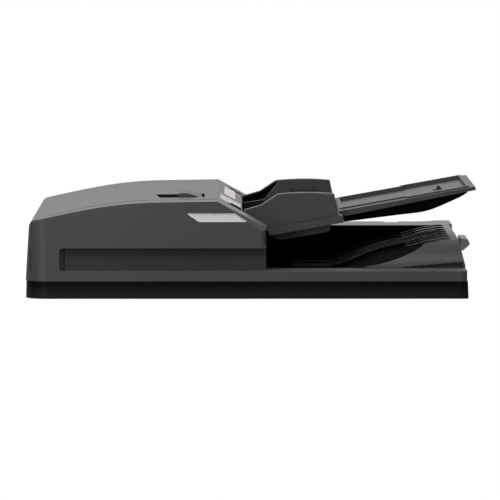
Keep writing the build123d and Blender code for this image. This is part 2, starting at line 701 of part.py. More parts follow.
with BuildPart() as front_frame:
    add(side_frame(FRONT_LAYER[0], FRONT_LAYER[0] - 12, FRONT_LAYER[1]))
    extrude(discs(BOARD_POSTS, 3.0, FRONT_LAYER[0]), amount=27)
    extrude(discs([STRIKE], 2.5, FRAME_FRONT + 8), amount=8 + PLATE)

# the rear frame also carries the latch strike, the idler's stub shaft and the motor plate
with BuildPart() as rear_frame:
    add(side_frame(BACK_LAYER[0], BACK_LAYER[0], BACK_LAYER[1] + 12))
    extrude(discs([STRIKE], 2.5, BACK_LAYER[1]), amount=8 + PLATE)
    extrude(discs([IDLER], 2.98, 240), amount=240 - BACK_LAYER[0])
    with BuildSketch(facing(224)):
        with Locations(MOTOR):
            Circle(19)
        with Locations(*MOTOR_POSTS):
            Circle(5)
        make_hull()
        with Locations(MOTOR):
            Circle(5.2, mode=Mode.SUBTRACT)
    extrude(amount=2)
    extrude(discs(MOTOR_POSTS, 3.5, 222), amount=222 - BACK_LAYER[1])

with BuildPart() as shaft_bushes:
    for centre, shaft_r in BUSHED:
        outer = shaft_r + BUSH_WALL
        extrude(discs([centre], outer, FRONT_LAYER[1] + 1.2), amount=PLATE + 1.2)
        extrude(discs([centre], outer + BUSH_RIM, FRONT_LAYER[1] + 1.2), amount=1.2)
        extrude(discs([centre], outer, BACK_LAYER[1]), amount=PLATE + 1.2)
        extrude(discs([centre], outer + BUSH_RIM, BACK_LAYER[0]), amount=1.2)
    for centre, shaft_r in BUSHED:
        extrude(discs([centre], shaft_r + RUN, FAR), amount=2 * FAR, mode=Mode.SUBTRACT)

# ---------------------------------------------------------------- rollers and shafts
SHAFT_FRONT = FRONT_LAYER[0] - 2
drum_spans = around_paper(-120, -60, 0, 60, 120, width=36)
with BuildPart() as drum_core:
    extrude(discs([DRUM], 27.0, PAPER_MID + 158), amount=316)
    extrude(discs([DRUM], 24.0, PAPER_MID + 155), amount=310, mode=Mode.SUBTRACT)
    extrude(discs([DRUM], 5.0, 222), amount=222 - SHAFT_FRONT)

drum_tyres = sleeves(DRUM, DRUM_R, 27.0, drum_spans)

LAYER_B = (216.0, 221.0)
LAYER_C = (223.5, 229.5)
LAYER_D = (231.5, 237.5)
IDLE_END = BACK_LAYER[1] + 2
CORE = 2.0                  # a bore smaller than the shaft, so that a sleeve joins it


def roller(centre, shaft_r, y_low, y_high, sleeve_r, spans, pulleys=()):
    """Shaft with its sleeves and pulleys moulded on; pulleys are (teeth, y_low, y_high)."""
    with BuildPart() as piece:
        add(rod(centre, shaft_r, y_low, y_high))
        if spans:
            add(sleeves(centre, sleeve_r, CORE, spans))
        for teeth, low, high in pulleys:
            add(pulley(centre, teeth, CORE, low, high))
    return piece.part


register_spans = around_paper(-105, -35, 35, 105, width=26)
exit_spans = around_paper(-120, -40, 40, 120, width=24)
feed_spans = [(PAPER_MID - 20, PAPER_MID + 20)]
pickup_spans = [(PAPER_MID - 18, PAPER_MID + 18)]
paper_span = [(PAPER_MID - 152, PAPER_MID + 152)]
drum_pinch_spans = around_paper(-90, 0, 90, width=36)

register_roller = roller(REGISTER, 4.0, SHAFT_FRONT, 222, REGISTER_R, register_spans,
                         [(18, *LAYER_B)])
register_pinch = roller(REGISTER_PINCH, 2.5, -181.5, 200, PINCH_R, register_spans)
feed_shaft = roller(FEED, 4.0, SHAFT_FRONT, 230, 0, [], [(26, *LAYER_C), (20, 34, 40)])
feed_tyre = sleeves(FEED, FEED_R, 4.0, feed_spans)
pickup_shaft = roller(PICKUP, 3.0, -19, 49, 0, [], [(17, 34, 40)])
pickup_tyre = sleeves(PICKUP, PICKUP_R, 3.0, pickup_spans)
separation_roller = roller(SEPARATION, 3.0, SHAFT_FRONT, IDLE_END, SEPARATION_R, feed_spans)
exit_roller = roller(EXIT, 4.0, SHAFT_FRONT, 238, EXIT_R, exit_spans, [(20, *LAYER_D)])
exit_pinch = roller(EXIT_PINCH, 2.5, SHAFT_FRONT, IDLE_END, EXIT_PINCH_R, exit_spans)
drum_pinch = roller(DRUM_PINCH, 3.0, SHAFT_FRONT, IDLE_END, DRUM_PINCH_R, drum_pinch_spans)
upper_backing_roller = roller(HIGH_BACKING, 3.0, SHAFT_FRONT, IDLE_END, BACKING_R, paper_span)
lower_backing_roller = roller(LOW_BACKING, 3.0, SHAFT_FRONT, IDLE_END, BACKING_R, paper_span)

# ---------------------------------------------------------------- drive at the back
GEAR_LOW = BACK_LAYER[1] + 1.5
GEAR_W = 6.0
gear_plane = facing(GEAR_LOW + GEAR_W)
motor_pinion = involute_gear(gear_plane, MOTOR, MOTOR_TEETH, 2.0, GEAR_W,
                             mesh_phase(200, DRUM_TEETH, 0, MOTOR_TEETH))

with BuildPart() as drum_gear:
    add(involute_gear(gear_plane, DRUM, DRUM_TEETH, 5.0, GEAR_W))
    add(sleeves(DRUM, 9.0, 5.0, [(GEAR_LOW, LAYER_B[1])]))
    add(pulley(DRUM, 54, 5.0, *LAYER_B))

with BuildPart() as drive_belts:
    add(belt(DRUM, 54, REGISTER, 18, LAYER_B[0] + 1, LAYER_B[1] - 1))
    add(belt(IDLER, 20, FEED, 26, LAYER_C[0] + 1, LAYER_C[1] - 1))
    add(belt(IDLER, 25, EXIT, 20, LAYER_D[0] + 1, LAYER_D[1] - 1))

with BuildPart() as idler_gear:
    add(involute_gear(gear_plane, IDLER, IDLER_TEETH, 3.0 + RUN, GEAR_W,
                      mesh_phase(-20, DRUM_TEETH, 0, IDLER_TEETH)))
    add(sleeves(IDLER, 5.0, 3.0 + RUN, [(GEAR_LOW, LAYER_D[1])]))
    add(pulley(IDLER, 20, 4.0, *LAYER_C))
    add(pulley(IDLER, 25, 4.0, *LAYER_D))

with BuildPart() as drive_motor:
    extrude(discs([MOTOR], 17.5, 250), amount=26)
    extrude(discs([MOTOR], 5.0, 224), amount=3)
    extrude(discs([MOTOR], 1.98, 224), amount=224 - GEAR_LOW)
    fillet(drive_motor.edges().filter_by(GeomType.CIRCLE).group_by(Axis.Y)[-1], 1.5)

# ---------------------------------------------------------------- pickup unit
HOLDER_OUTLINE = [(-79, 119), (-38, 119), (-21, 111), (-21, 99.5), (-32, 97.5), (-62, 93.5),
                  (-74, 95), (-79, 101)]
with BuildPart() as pickup_holder:
    for y_low in (-17.0, 44.0):
        extrude(outline(HOLDER_OUTLINE, y_low + 3), amount=3)
    add(block(-77, -40, -17, 47, 116.6, 119))
    extrude(discs([FEED], 4.0 + RUN, FAR), amount=2 * FAR, mode=Mode.SUBTRACT)
    extrude(discs([PICKUP], 3.0 + RUN, FAR), amount=2 * FAR, mode=Mode.SUBTRACT)
pickup_belt = belt(FEED, 20, PICKUP, 17, 35, 39)

# ---------------------------------------------------------------- paper guides and sensors
GUIDE_LOW = FRAME_FRONT + 0.5
GUIDE_HIGH = FRAME_BACK - 0.5


def windows(x_low, x_high, z_low, z_high, spans, margin=1.5):
    """Blocks that cut a window for each roller sleeve."""
    pieces = [block(x_low, x_high, a - margin, b + margin, z_low, z_high) for a, b in spans]
    return pieces


with BuildPart() as feed_guide:
    deck = [(-6.5, 84.3), (-30, 86.6), (-50, 88), (-166, 88), (-166, 86), (-50, 86), (-30, 84.6),
            (-6.5, 82.3)]
    extrude(outline(deck, GUIDE_HIGH), amount=GUIDE_HIGH - GUIDE_LOW)
    for x, top in [(-104.0, 87.0), (-48.0, 87.0), (-20.0, 85.0)]:
        add(block(x - 1, x + 1, GUIDE_LOW, GUIDE_HIGH, 76, top))
    for piece in windows(-143, -117, 60, 100, register_spans):
        add(piece, mode=Mode.SUBTRACT)
    add(block(-82, -54, PAPER_MID - 22, PAPER_MID + 22, 60, 100), mode=Mode.SUBTRACT)

lid_inside = housing_outline(WALL + 0.3, FAR)
with BuildPart() as cover_guide:
    add(block(-201, -92, -181, 201, 90.5, 92.5))
    for y in (-178.0, -60.0, 80.0, 196.0):
        extrude(outline([(-240, 91), (-92, 91), (-92, 140), (-240, 140)], y + 2), amount=2)
    extrude(lid_inside, amount=2 * FAR, mode=Mode.INTERSECT)
    add(block(-240, -201, -FAR, FAR, 0, 96), mode=Mode.SUBTRACT)
    for piece in windows(-139, -121, 60, 95, register_spans):
        add(piece, mode=Mode.SUBTRACT)
    extrude(discs([REGISTER_PINCH], 2.5 + RUN, FAR), amount=2 * FAR, mode=Mode.SUBTRACT)

with BuildPart() as turn_guide:
    with BuildSketch(facing(GUIDE_HIGH)):
        with BuildLine():
            outer = CenterArc(DRUM, 35.0, 97, 166)
            inner = CenterArc(DRUM, 33.0, 97, 166)
            Line(outer @ 0, inner @ 0)
            Line(outer @ 1, inner @ 1)
        make_face()
    extrude(amount=GUIDE_HIGH - GUIDE_LOW)
    for piece in windows(-250, -226, 47, 71, around_paper(-90, 0, 90, width=36)):
        add(piece, mode=Mode.SUBTRACT)

with BuildPart() as lower_guide:
    path = [(-200, 28), (-82, 28), (-4, 41.5), (-4, 39.5), (-82, 26), (-200, 26)]
    extrude(outline(path, GUIDE_HIGH), amount=GUIDE_HIGH - GUIDE_LOW)
    for x in (-196.0, -76.0, -30.0):
        top = 27 if x < -82 else 27 + (x + 82) * 0.17
        add(block(x - 1, x + 1, GUIDE_LOW, GUIDE_HIGH, FLOOR_TOP, top))
    add(block(-163, -133, PAPER_MID - 162, PAPER_MID + 162, 20, 34), mode=Mode.SUBTRACT)
    add(block(-109, -91, PAPER_MID - 154, PAPER_MID + 154, 20, 34), mode=Mode.SUBTRACT)

with BuildPart() as exit_guides:
    add(lower_guide.part)
    path = [(-182, 31), (-80, 31), (-4, 44.6), (-4, 46.6), (-80, 33), (-182, 33)]
    extrude(outline(path, GUIDE_HIGH), amount=GUIDE_HIGH - GUIDE_LOW)
    add(block(-77, -75, GUIDE_LOW, GUIDE_HIGH, 32.5, 60))
    add(block(-158, -138, PAPER_MID - 154, PAPER_MID + 154, 30, 50), mode=Mode.SUBTRACT)
    add(block(-115, -85, PAPER_MID - 162, PAPER_MID + 162, 30, 50), mode=Mode.SUBTRACT)

SENSOR_HALF = 160.0
SENSOR_FRONT = PAPER_MID - SENSOR_HALF
SENSOR_BACK = PAPER_MID + SENSOR_HALF
with BuildPart() as image_sensors:
    add(block(-162, -134, SENSOR_FRONT, SENSOR_BACK, FLOOR_TOP, 26))
    add(block(-114, -86, SENSOR_FRONT, SENSOR_BACK, 33, 52))

with BuildPart() as sensor_glasses:
    add(block(-160, -136, SENSOR_FRONT + 2, SENSOR_BACK - 2, 26, 28))
    add(block(-112, -88, SENSOR_FRONT + 2, SENSOR_BACK - 2, 31, 33))

# ---------------------------------------------------------------- boards, cable and screws
with BuildPart() as circuit_boards:
    add(block(-202, -88, -215.6, -214, 36, 99))
    for x, z, w, h, thick in [(-180, 60, 22, 22, 2.4), (-150, 80, 14, 10, 1.8),
                              (-140, 55, 12, 18, 6.0), (-112, 50, 10, 30, 8.0)]:
        add(block(x - w / 2, x + w / 2, -215.6 - thick, -215.6, z - h / 2, z + h / 2))
    add(block(-68, -14, -246.6, -245, 97, 111))
    for x in (-56.0, -40.0, -24.0):
        add(block(x - 2.5, x + 2.5, -248.4, -246.6, 104, 109))

# cable with its strain relief moulded on, which sits in the rear cover, and its plug
with BuildPart() as interface_cable:
    add(rod(CABLE_EXIT, 5.98, BACK - WALL, BACK))
    add(rod(CABLE_EXIT, 8.0, BACK, BACK + 3))
    add(rod(CABLE_EXIT, 8.0, BACK - WALL - 2, BACK - WALL))
    with BuildLine() as route:
        Spline((CABLE_EXIT[0], 239, CABLE_EXIT[1]), (CABLE_EXIT[0], BACK + 4, CABLE_EXIT[1]),
               (CABLE_EXIT[0], BACK + 24, 30), (CABLE_EXIT[0], BACK + 26, 16),
               tangents=[(0, 1, 0), (0, 0, -1)])
    with BuildSketch(Plane(origin=route.line @ 0, z_dir=route.line % 0)):
        Circle(3.3)
    sweep()
    add(block(CABLE_EXIT[0] - 9, CABLE_EXIT[0] + 9, BACK + 21, BACK + 31, 1, 17))

with BuildPart() as cover_screws:
    for x, z in COVER_SCREWS:
        extrude(discs([(x, z)], 3.7, BACK - 0.2), amount=1.8)
        extrude(discs([(x, z)], 1.5, BACK - 0.2), amount=12)
        with BuildSketch(facing(BACK)):
            with Locations((x, z)):
                Rectangle(4.2, 0.9)
                Rectangle(0.9, 4.2)
        extrude(amount=1.0, mode=Mode.SUBTRACT)

# ---------------------------------------------------------------- release lever and latch
with BuildPart() as latch_shaft:
    extrude(discs([LATCH], 2.98, 203), amount=386)
    hook = [(-71, 124), (-68, 118.5), (-54, 109), (-51, 100.5), (-39, 100.5), (-38.5, 104.2),
            (-45.2, 104.2), (-46.5, 112), (-60, 127.5), (-66, 128)]
    for y_high in (-180.0, 203.0):
        extrude(outline(hook, y_high), amount=3)

with BuildPart() as release_lever:
    with BuildSketch(facing(-79.5)):
        with BuildLine():
            Polyline((-61.6, 131.6), (-61.6, 122.6), (-94, 122.6), (-94, 137.4))
            Spline((-94, 137.4), (-86, 138.4), (-75, 136.6), (-61.6, 131.6))
        make_face()
    extrude(amount=72)
    fillet(release_lever.edges().filter_by(Axis.Y).group_by(Axis.Z)[-2:], 0.8)
    extrude(discs([LATCH], 2.98, 0), amount=300, mode=Mode.SUBTRACT)

# blank stickers on the slanted panel
def sticker(x_low, x_high, y_low, y_high):
    """Thin rectangle lying on the slanted panel."""
    slope = atan((CREASE[1] - SLANT_END[1]) / (SLANT_END[0] - CREASE[0]))
    middle = ((x_low + x_high) / 2, (y_low + y_high) / 2)
    plane = Plane(origin=(middle[0], middle[1], slant_height(middle[0]) + 0.02),
                  x_dir=(cos(slope), 0, -sin(slope)), z_dir=(sin(slope), 0, cos(slope)))
    with BuildPart() as label:
        with BuildSketch(plane):
            RectangleRounded((x_high - x_low) / cos(slope), y_high - y_low, 1.5)
        extrude(amount=0.25)
    return label.part


with BuildPart() as panel_stickers:
    add(sticker(-36.5, -8.5, -151, -55))
    add(sticker(-31, -16, -10, 165))

# ---------------------------------------------------------------- feed tray
TILT = radians(TRAY_ANGLE)
ALONG = (cos(TILT), 0, sin(TILT))
NORMAL = (-sin(TILT), 0, cos(TILT))
DECK_END = 104.0            # right end of the wide deck, measured along the tray
EXTENSION_END = 290.5
EXTENSION_TOP = 4.1         # the extension's rim above the deck
BEAD = 2.2                  # raised border round the extension's recess
LIP_START = 100.2           # the extension's rim overlaps the end of the deck from here
RECESS_FLOOR = 0.0


def tray_side(y):
    """Plane at depth y, seen from the front, with x along the tray and y square to its deck."""
    return Plane(origin=(TRAY_CORNER[0], y, TRAY_CORNER[1]), x_dir=ALONG, z_dir=(0, -1, 0))


def tray_flat(height):
    """Plane parallel to the deck at this height; x runs along the tray and y to the back."""
    origin = (TRAY_CORNER[0] + NORMAL[0] * height, 0, TRAY_CORNER[1] + NORMAL[2] * height)
    return Plane(origin=origin, x_dir=ALONG, z_dir=NORMAL)


def tray_prism(points, y_low, y_high):
    """Solid with a straight-sided outline in tray coordinates."""
    with BuildPart() as piece:
        with BuildSketch(tray_side(y_high)):
            with BuildLine():
                Polyline(*points, close=True)
            make_face()
        extrude(amount=y_high - y_low)
    return piece.part


def tray_block(a_low, a_high, y_low, y_high, h_low, h_high):
    """Box in tray coordinates: along the tray, in depth, and square to the deck."""
    corners = [(a_low, h_low), (a_high, h_low), (a_high, h_high), (a_low, h_high)]
    return tray_prism(corners, y_low, y_high)


def to_tray(point):
    """A point of the side view, in tray coordinates."""
    x = point[0] - TRAY_CORNER[0]
    z = point[1] - TRAY_CORNER[1]
    return (x * cos(TILT) + z * sin(TILT), z * cos(TILT) - x * sin(TILT))


PIVOT = to_tray(TRAY_PIVOT)
PINION = (45.0, PAPER_MID)
PINION_TEETH = 20
RACK_LINE = PINION_TEETH * GEAR_MODULE / 2
GUIDE_TRAVEL = 85.0
LUGS = [(TRAY_FRONT, -152.0), (172.0, TRAY_BACK)]

with BuildPart() as tray_deck:
    add(tray_block(-32, DECK_END, TRAY_FRONT, TRAY_BACK, -3, 0))
    add(tray_block(0, DECK_END, TRAY_FRONT, TRAY_FRONT + 3, -10.2, -3))
    add(tray_block(0, DECK_END, TRAY_BACK - 3, TRAY_BACK, -10.2, -3))
    add(tray_block(DECK_END - 3, DECK_END, TRAY_FRONT, TRAY_BACK, -10.2, -3))
    for y_low, y_high in LUGS:
        with BuildSketch(tray_side(y_high)):
            with Locations(PIVOT):
                Circle(7.5)
            with Locations((PIVOT[0], PIVOT[1] + 2)):
                Rectangle(15, 4)
        extrude(amount=y_high - y_low)
    add(tray_block(-60, 120, -FAR, FAR, 0, 40), mode=Mode.SUBTRACT)
    add(tray_block(DECK_END - 5, DECK_END + 5, -103, 123, -5.6, -3), mode=Mode.SUBTRACT)
    extrude(discs([TRAY_PIVOT], 4.0, LUGS[0][0]), amount=LUGS[0][0] - SHAFT_FRONT)
    extrude(discs([TRAY_PIVOT], 4.0, IDLE_END), amount=IDLE_END - LUGS[1][1])
    # slots for the feet of the two guides
    add(tray_block(27.5, 34.0, -154, -56, -6, 6), mode=Mode.SUBTRACT)
    add(tray_block(56.0, 62.5, 76, 174, -6, 6), mode=Mode.SUBTRACT)

BOX_HIGH = [(0, -3.1), (0, -11.4), (1.6, -12.6), (86, -13.2), (87.2, -3.1)]
BOX_LOW = [(2.5, -12), (11.6, -19.8), (80, -20.2), (83.6, -18.2), (84.8, -15), (84.8, -12)]
BOX_HIGH_INSIDE = [(2.4, 1), (2.4, -10.6), (84.4, -11), (84.8, 1)]
BOX_LOW_INSIDE = [(4.9, -10), (4.9, -11.8), (12.6, -17.4), (79, -17.8), (81.6, -16.4), (82.4, -10)]
with BuildPart() as tray_underbox:
    add(tray_prism(BOX_HIGH, -150, 170))
    add(tray_prism(BOX_LOW, -147.8, 167.8))
    add(tray_prism(BOX_HIGH_INSIDE, -147.6, 167.6), mode=Mode.SUBTRACT)
    add(tray_prism(BOX_LOW_INSIDE, -145.4, 165.4), mode=Mode.SUBTRACT)
    with BuildSketch(tray_flat(-19.5)):
        with Locations(PINION):
            Circle(6.0)
    extrude(amount=19.5 - 9.6)
    with BuildSketch(tray_flat(-12)):
        with Locations(PINION):
            Circle(2.98)
    extrude(amount=8)


STEP_AT = 198.5             # the recess is wider on both sides to the right of this
STEP_OUT = 17.0


def extension_plan(height, wide, narrow):
    """Plan of the extension's stepped recess, grown on every side by these margins."""
    with BuildSketch(tray_flat(height)) as plan:
        with Locations(((106 + 279) / 2, PAPER_MID)):
            Rectangle(279 - 106 + 2 * narrow, 218 + 2 * narrow)
        with Locations(((STEP_AT + 279) / 2, PAPER_MID)):
            Rectangle(279 - STEP_AT + 2 * narrow, 218 + 2 * wide + 2 * narrow)
    return plan.sketch


FLAP_PIVOT = (239.0, -0.6)
with BuildPart() as tray_extension:
    skin = [(104.6, EXTENSION_TOP), (EXTENSION_END, EXTENSION_TOP), (EXTENSION_END + 0.6, -0.6),
            (104.6, -4.2)]
    add(tray_prism(skin, EXTENSION_FRONT, EXTENSION_BACK))
    right_face = tray_extension.faces().sort_by(Axis.X)[-1]
    fillet(right_face.edges().sort_by(Axis.Y)[0], 5)
    right_face = tray_extension.faces().filter_by(GeomType.PLANE).sort_by(Axis.X)[-1]
    fillet(right_face.edges().sort_by(Axis.Y)[-1], 5)
    extrude(extension_plan(EXTENSION_TOP - 1, STEP_OUT, 4), amount=1 + BEAD)
    extrude(extension_plan(RECESS_FLOOR, STEP_OUT, 0), amount=20, mode=Mode.SUBTRACT)
    add(tray_block(LIP_START, 106, EXTENSION_FRONT, EXTENSION_BACK, 0.1, EXTENSION_TOP))
    add(tray_block(88, 112, -100, 120, -5.2, -3.1))
    add(tray_block(FLAP_PIVOT[0] - 2.5, FLAP_PIVOT[0] + 2.5, PAPER_MID - 10, PAPER_MID + 10,
                   -2.4, 1.2))
    add(tray_block(236, 250, PAPER_MID - 6, PAPER_MID + 6, -12, 6), mode=Mode.SUBTRACT)
    with BuildSketch(tray_side(PAPER_MID + 10)):
        with Locations(FLAP_PIVOT):
            Circle(1.25)
    extrude(amount=20, mode=Mode.SUBTRACT)


def belly_outline(inset, y):
    """Curved underside of the extension."""
    with BuildSketch(tray_side(y)) as face:
        with BuildLine():
            Line((104.8 + inset, -4.3), (104.8 + inset, -13 + inset))
            Line((104.8 + inset, -13 + inset), (180, -16.9 + inset))
            Spline((180, -16.9 + inset), (223, -18 + inset), (245, -13.6 + inset),
                   (264, -8.8 + inset), (279 - 2 * inset, -3.4), tangents=[(1, -0.05), (2, 1)])
            Polyline((279 - 2 * inset, -3.4), (279 - 2 * inset, -0.85), (104.8 + inset, -4.3))
        make_face()
    return face.sketch


BELLY_FRONT = EXTENSION_FRONT + 20
BELLY_BACK = EXTENSION_BACK - 20
with BuildPart() as extension_belly:
    extrude(belly_outline(0, BELLY_BACK), amount=BELLY_BACK - BELLY_FRONT)
    extrude(belly_outline(2.4, BELLY_BACK - 2.4), amount=BELLY_BACK - BELLY_FRONT - 4.8,
            mode=Mode.SUBTRACT)
    add(tray_prism([(109, -6.5), (109, 3), (274, 3), (274, -3.2)], BELLY_FRONT + 2.4,
                   BELLY_BACK - 2.4), mode=Mode.SUBTRACT)
    add(tray_block(100, 114, -101, 121, -5.5, -2), mode=Mode.SUBTRACT)

flap_outline = [(237.6, -1.8), (237.6, 0.4), (240, 1.2), (244.6, 6.4), (248.6, 1.0), (248.2, -1.8)]
with BuildPart() as length_flap:
    add(tray_prism(flap_outline, PAPER_MID - 5, PAPER_MID + 5))
    with BuildSketch(tray_side(PAPER_MID + 8)):
        with Locations(FLAP_PIVOT):
            Circle(1.2)
    extrude(amount=16)


def guide_outline(inset, y):
    """Side view of a width guide: it rises from the paper inlet to a long flat crown."""
    lift = 0.4 if inset == 0 else -5.0
    low_left = (-4.5 + inset, TRAY_CORNER[1] + (-4.5 - TRAY_CORNER[0]) * tan(TILT) + lift)
    low_right = (125.8 - inset, TRAY_CORNER[1] + (125.8 - TRAY_CORNER[0]) * tan(TILT) + lift)
    with BuildSketch(facing(y)) as face:
        with BuildLine():
            Polyline(low_left, (-4.5 + inset, 113.8 - inset), (-3.3 + inset, 115.3 - inset),
                     (19.6, 121.9 - inset), (42.1 + inset / 2, 137 - inset))
            ThreePointArc((42.1 + inset / 2, 137 - inset), (80.4, 139.2 - inset),
                          (119.7 - inset, 137.5 - inset))
            Polyline((119.7 - inset, 137.5 - inset), low_right, low_left)
        make_face()
    return face.sketch


THROAT = [(-10, 105.4), (25.8, 109.7), (45, 133.2), (41, 134.4), (19, 119.2), (-3.3, 112.5),
          (-10, 111)]
GUIDE_T = 16.0


def guide(y_outer, y_inner):
    """Hollow width guide, with an open throat on its inner side next to the inlet."""
    low, high = sorted((y_outer, y_inner))
    wall = 2.2
    with BuildPart() as piece:
        extrude(guide_outline(0, high), amount=high - low)
        outer_face = piece.faces().sort_by(Axis.Y)[0 if y_outer < y_inner else -1]
        crown = outer_face.edges().group_by(Axis.Z)[-3:]
        fillet([edge for group in crown for edge in group], 0.8)
        extrude(guide_outline(wall, high - wall), amount=high - low - 2 * wall,
                mode=Mode.SUBTRACT)
        if y_outer < y_inner:
            extrude(outline(THROAT, high + 1), amount=wall + 2, mode=Mode.SUBTRACT)
        else:
            extrude(outline(THROAT, low + wall + 1), amount=wall + 2, mode=Mode.SUBTRACT)
    return piece.part


front_guide = guide(-155.0, -155.0 + GUIDE_T)
rear_guide = guide(175.0, 175.0 - GUIDE_T)


def rack(foot_low, foot_high, bar_low, bar_high, side):
    """Toothed rack under the deck with an upright foot that holds a width guide."""
    middle = PINION[0] + side * RACK_LINE
    root = middle + side * 1.25
    back = middle + side * 7.0
    pitch = pi * GEAR_MODULE
    teeth = []
    count = int((bar_high - bar_low) / pitch) + 2
    first = PINION[1] + pitch / 2 - pitch * int(count)
    for k in range(2 * count):
        y = first + k * pitch
        if y - 1.5 < bar_low or y + 1.5 > bar_high:
            continue
        teeth.append([(root, y - 1.18), (middle - side * 0.95, y - 0.38),
                      (middle - side * 0.95, y + 0.38), (root, y + 1.18)])
    with BuildPart() as piece:
        with BuildSketch(tray_flat(-9)):
            with Locations(((root + back) / 2, (bar_low + bar_high) / 2)):
                Rectangle(abs(back - root), bar_high - bar_low)
            with BuildLine():
                for tooth in teeth:
                    Polyline(*tooth, close=True)
            make_face()
        extrude(amount=4)
        low, high = sorted((root, back))
        add(tray_block(low + 0.4, high - 0.4, foot_low, foot_high, -6, 8))
    return piece.part


front_rack = rack(-147, -142, -147, 26, -1)
rear_rack = rack(162, 167, -6, 167, 1)
rack_pinion = involute_gear(tray_flat(-9.2), PINION, PINION_TEETH, 2.98 + RUN, 4.4)

# ---------------------------------------------------------------- export
pieces = {
    "front_cover": front_cover.part,
    "rear_cover": rear_cover.part,
    "left_cover": left_cover.part,
    "exit_panel": exit_panel.part,
    "indicator_window": indicator_window.part,
    "base_frame": base_frame.part,
    "platen_foam": platen_foam.part,
    "platen_sheet": platen_sheet.part,
    "exit_tray": exit_tray.part,
    "exit_extension": exit_extension.part,
    "hinge_brackets": hinge_brackets.part,
    "hinge_leaves": hinge_leaves.part,
    "front_frame": front_frame.part,
    "rear_frame": rear_frame.part,
    "shaft_bushes": shaft_bushes.part,
    "top_cover": top_cover.part,
    "lid_hinge_pins": lid_hinge_pins.part,
    "cover_guide": cover_guide.part,
    "panel_stickers": panel_stickers.part,
    "release_lever": release_lever.part,
    "latch_shaft": latch_shaft.part,
    "drum_core": drum_core.part,
    "drum_tyres": drum_tyres,
    "drum_gear": drum_gear.part,
    "drum_pinch": drum_pinch,
    "register_roller": register_roller,
    "register_pinch": register_pinch,
    "feed_shaft": feed_shaft,
    "feed_tyre": feed_tyre,
    "pickup_shaft": pickup_shaft,
    "pickup_tyre": pickup_tyre,
    "pickup_holder": pickup_holder.part,
    "pickup_belt": pickup_belt,
    "separation_roller": separation_roller,
    "exit_roller": exit_roller,
    "exit_pinch": exit_pinch,
    "upper_backing_roller": upper_backing_roller,
    "lower_backing_roller": lower_backing_roller,
    "idler_gear": idler_gear.part,
    "motor_pinion": motor_pinion,
    "drive_motor": drive_motor.part,
    "drive_belts": drive_belts.part,
    "feed_guide": feed_guide.part,
    "turn_guide": turn_guide.part,
    "exit_guides": exit_guides.part,
    "image_sensors": image_sensors.part,
    "sensor_glasses": sensor_glasses.part,
    "circuit_boards": circuit_boards.part,
    "interface_cable": interface_cable.part,
    "cover_screws": cover_screws.part,
    "tray_deck": tray_deck.part,
    "tray_underbox": tray_underbox.part,
    "tray_extension": tray_extension.part,
    "extension_belly": extension_belly.part,
    "length_flap": length_flap.part,
    "front_guide": front_guide,
    "rear_guide": rear_guide,
    "front_rack": front_rack,
    "rear_rack": rear_rack,
    "rack_pinion": rack_pinion,
}
for name, piece in pieces.items():
    piece.label = name
    export_step(piece, f"parts/{name}.step")
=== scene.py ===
import json
import math

import bmesh
import bpy
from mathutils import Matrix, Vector
from mathutils.bvhtree import BVHTree


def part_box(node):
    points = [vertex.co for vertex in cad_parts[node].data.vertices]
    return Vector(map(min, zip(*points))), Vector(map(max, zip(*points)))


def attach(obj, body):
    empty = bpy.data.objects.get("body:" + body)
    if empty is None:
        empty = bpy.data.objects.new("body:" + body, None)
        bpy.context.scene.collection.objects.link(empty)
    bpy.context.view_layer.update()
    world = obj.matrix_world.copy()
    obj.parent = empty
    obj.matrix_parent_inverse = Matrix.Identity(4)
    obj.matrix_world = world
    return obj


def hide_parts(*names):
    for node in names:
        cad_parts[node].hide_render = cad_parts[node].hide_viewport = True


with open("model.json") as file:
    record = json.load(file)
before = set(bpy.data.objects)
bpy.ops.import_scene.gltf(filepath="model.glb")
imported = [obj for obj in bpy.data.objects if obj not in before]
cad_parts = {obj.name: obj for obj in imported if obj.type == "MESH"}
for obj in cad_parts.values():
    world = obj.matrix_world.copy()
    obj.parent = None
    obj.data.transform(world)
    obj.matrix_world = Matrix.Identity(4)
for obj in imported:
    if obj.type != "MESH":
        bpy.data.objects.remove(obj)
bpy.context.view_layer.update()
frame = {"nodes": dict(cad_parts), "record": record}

MM = 0.001
PAPER_MID = 10               # depth of the middle of the paper path, in mm
ABOVE = 0.2                  # a height that clears the whole object
nodes = frame["nodes"]

# ---------------------------------------------------------------- node helpers


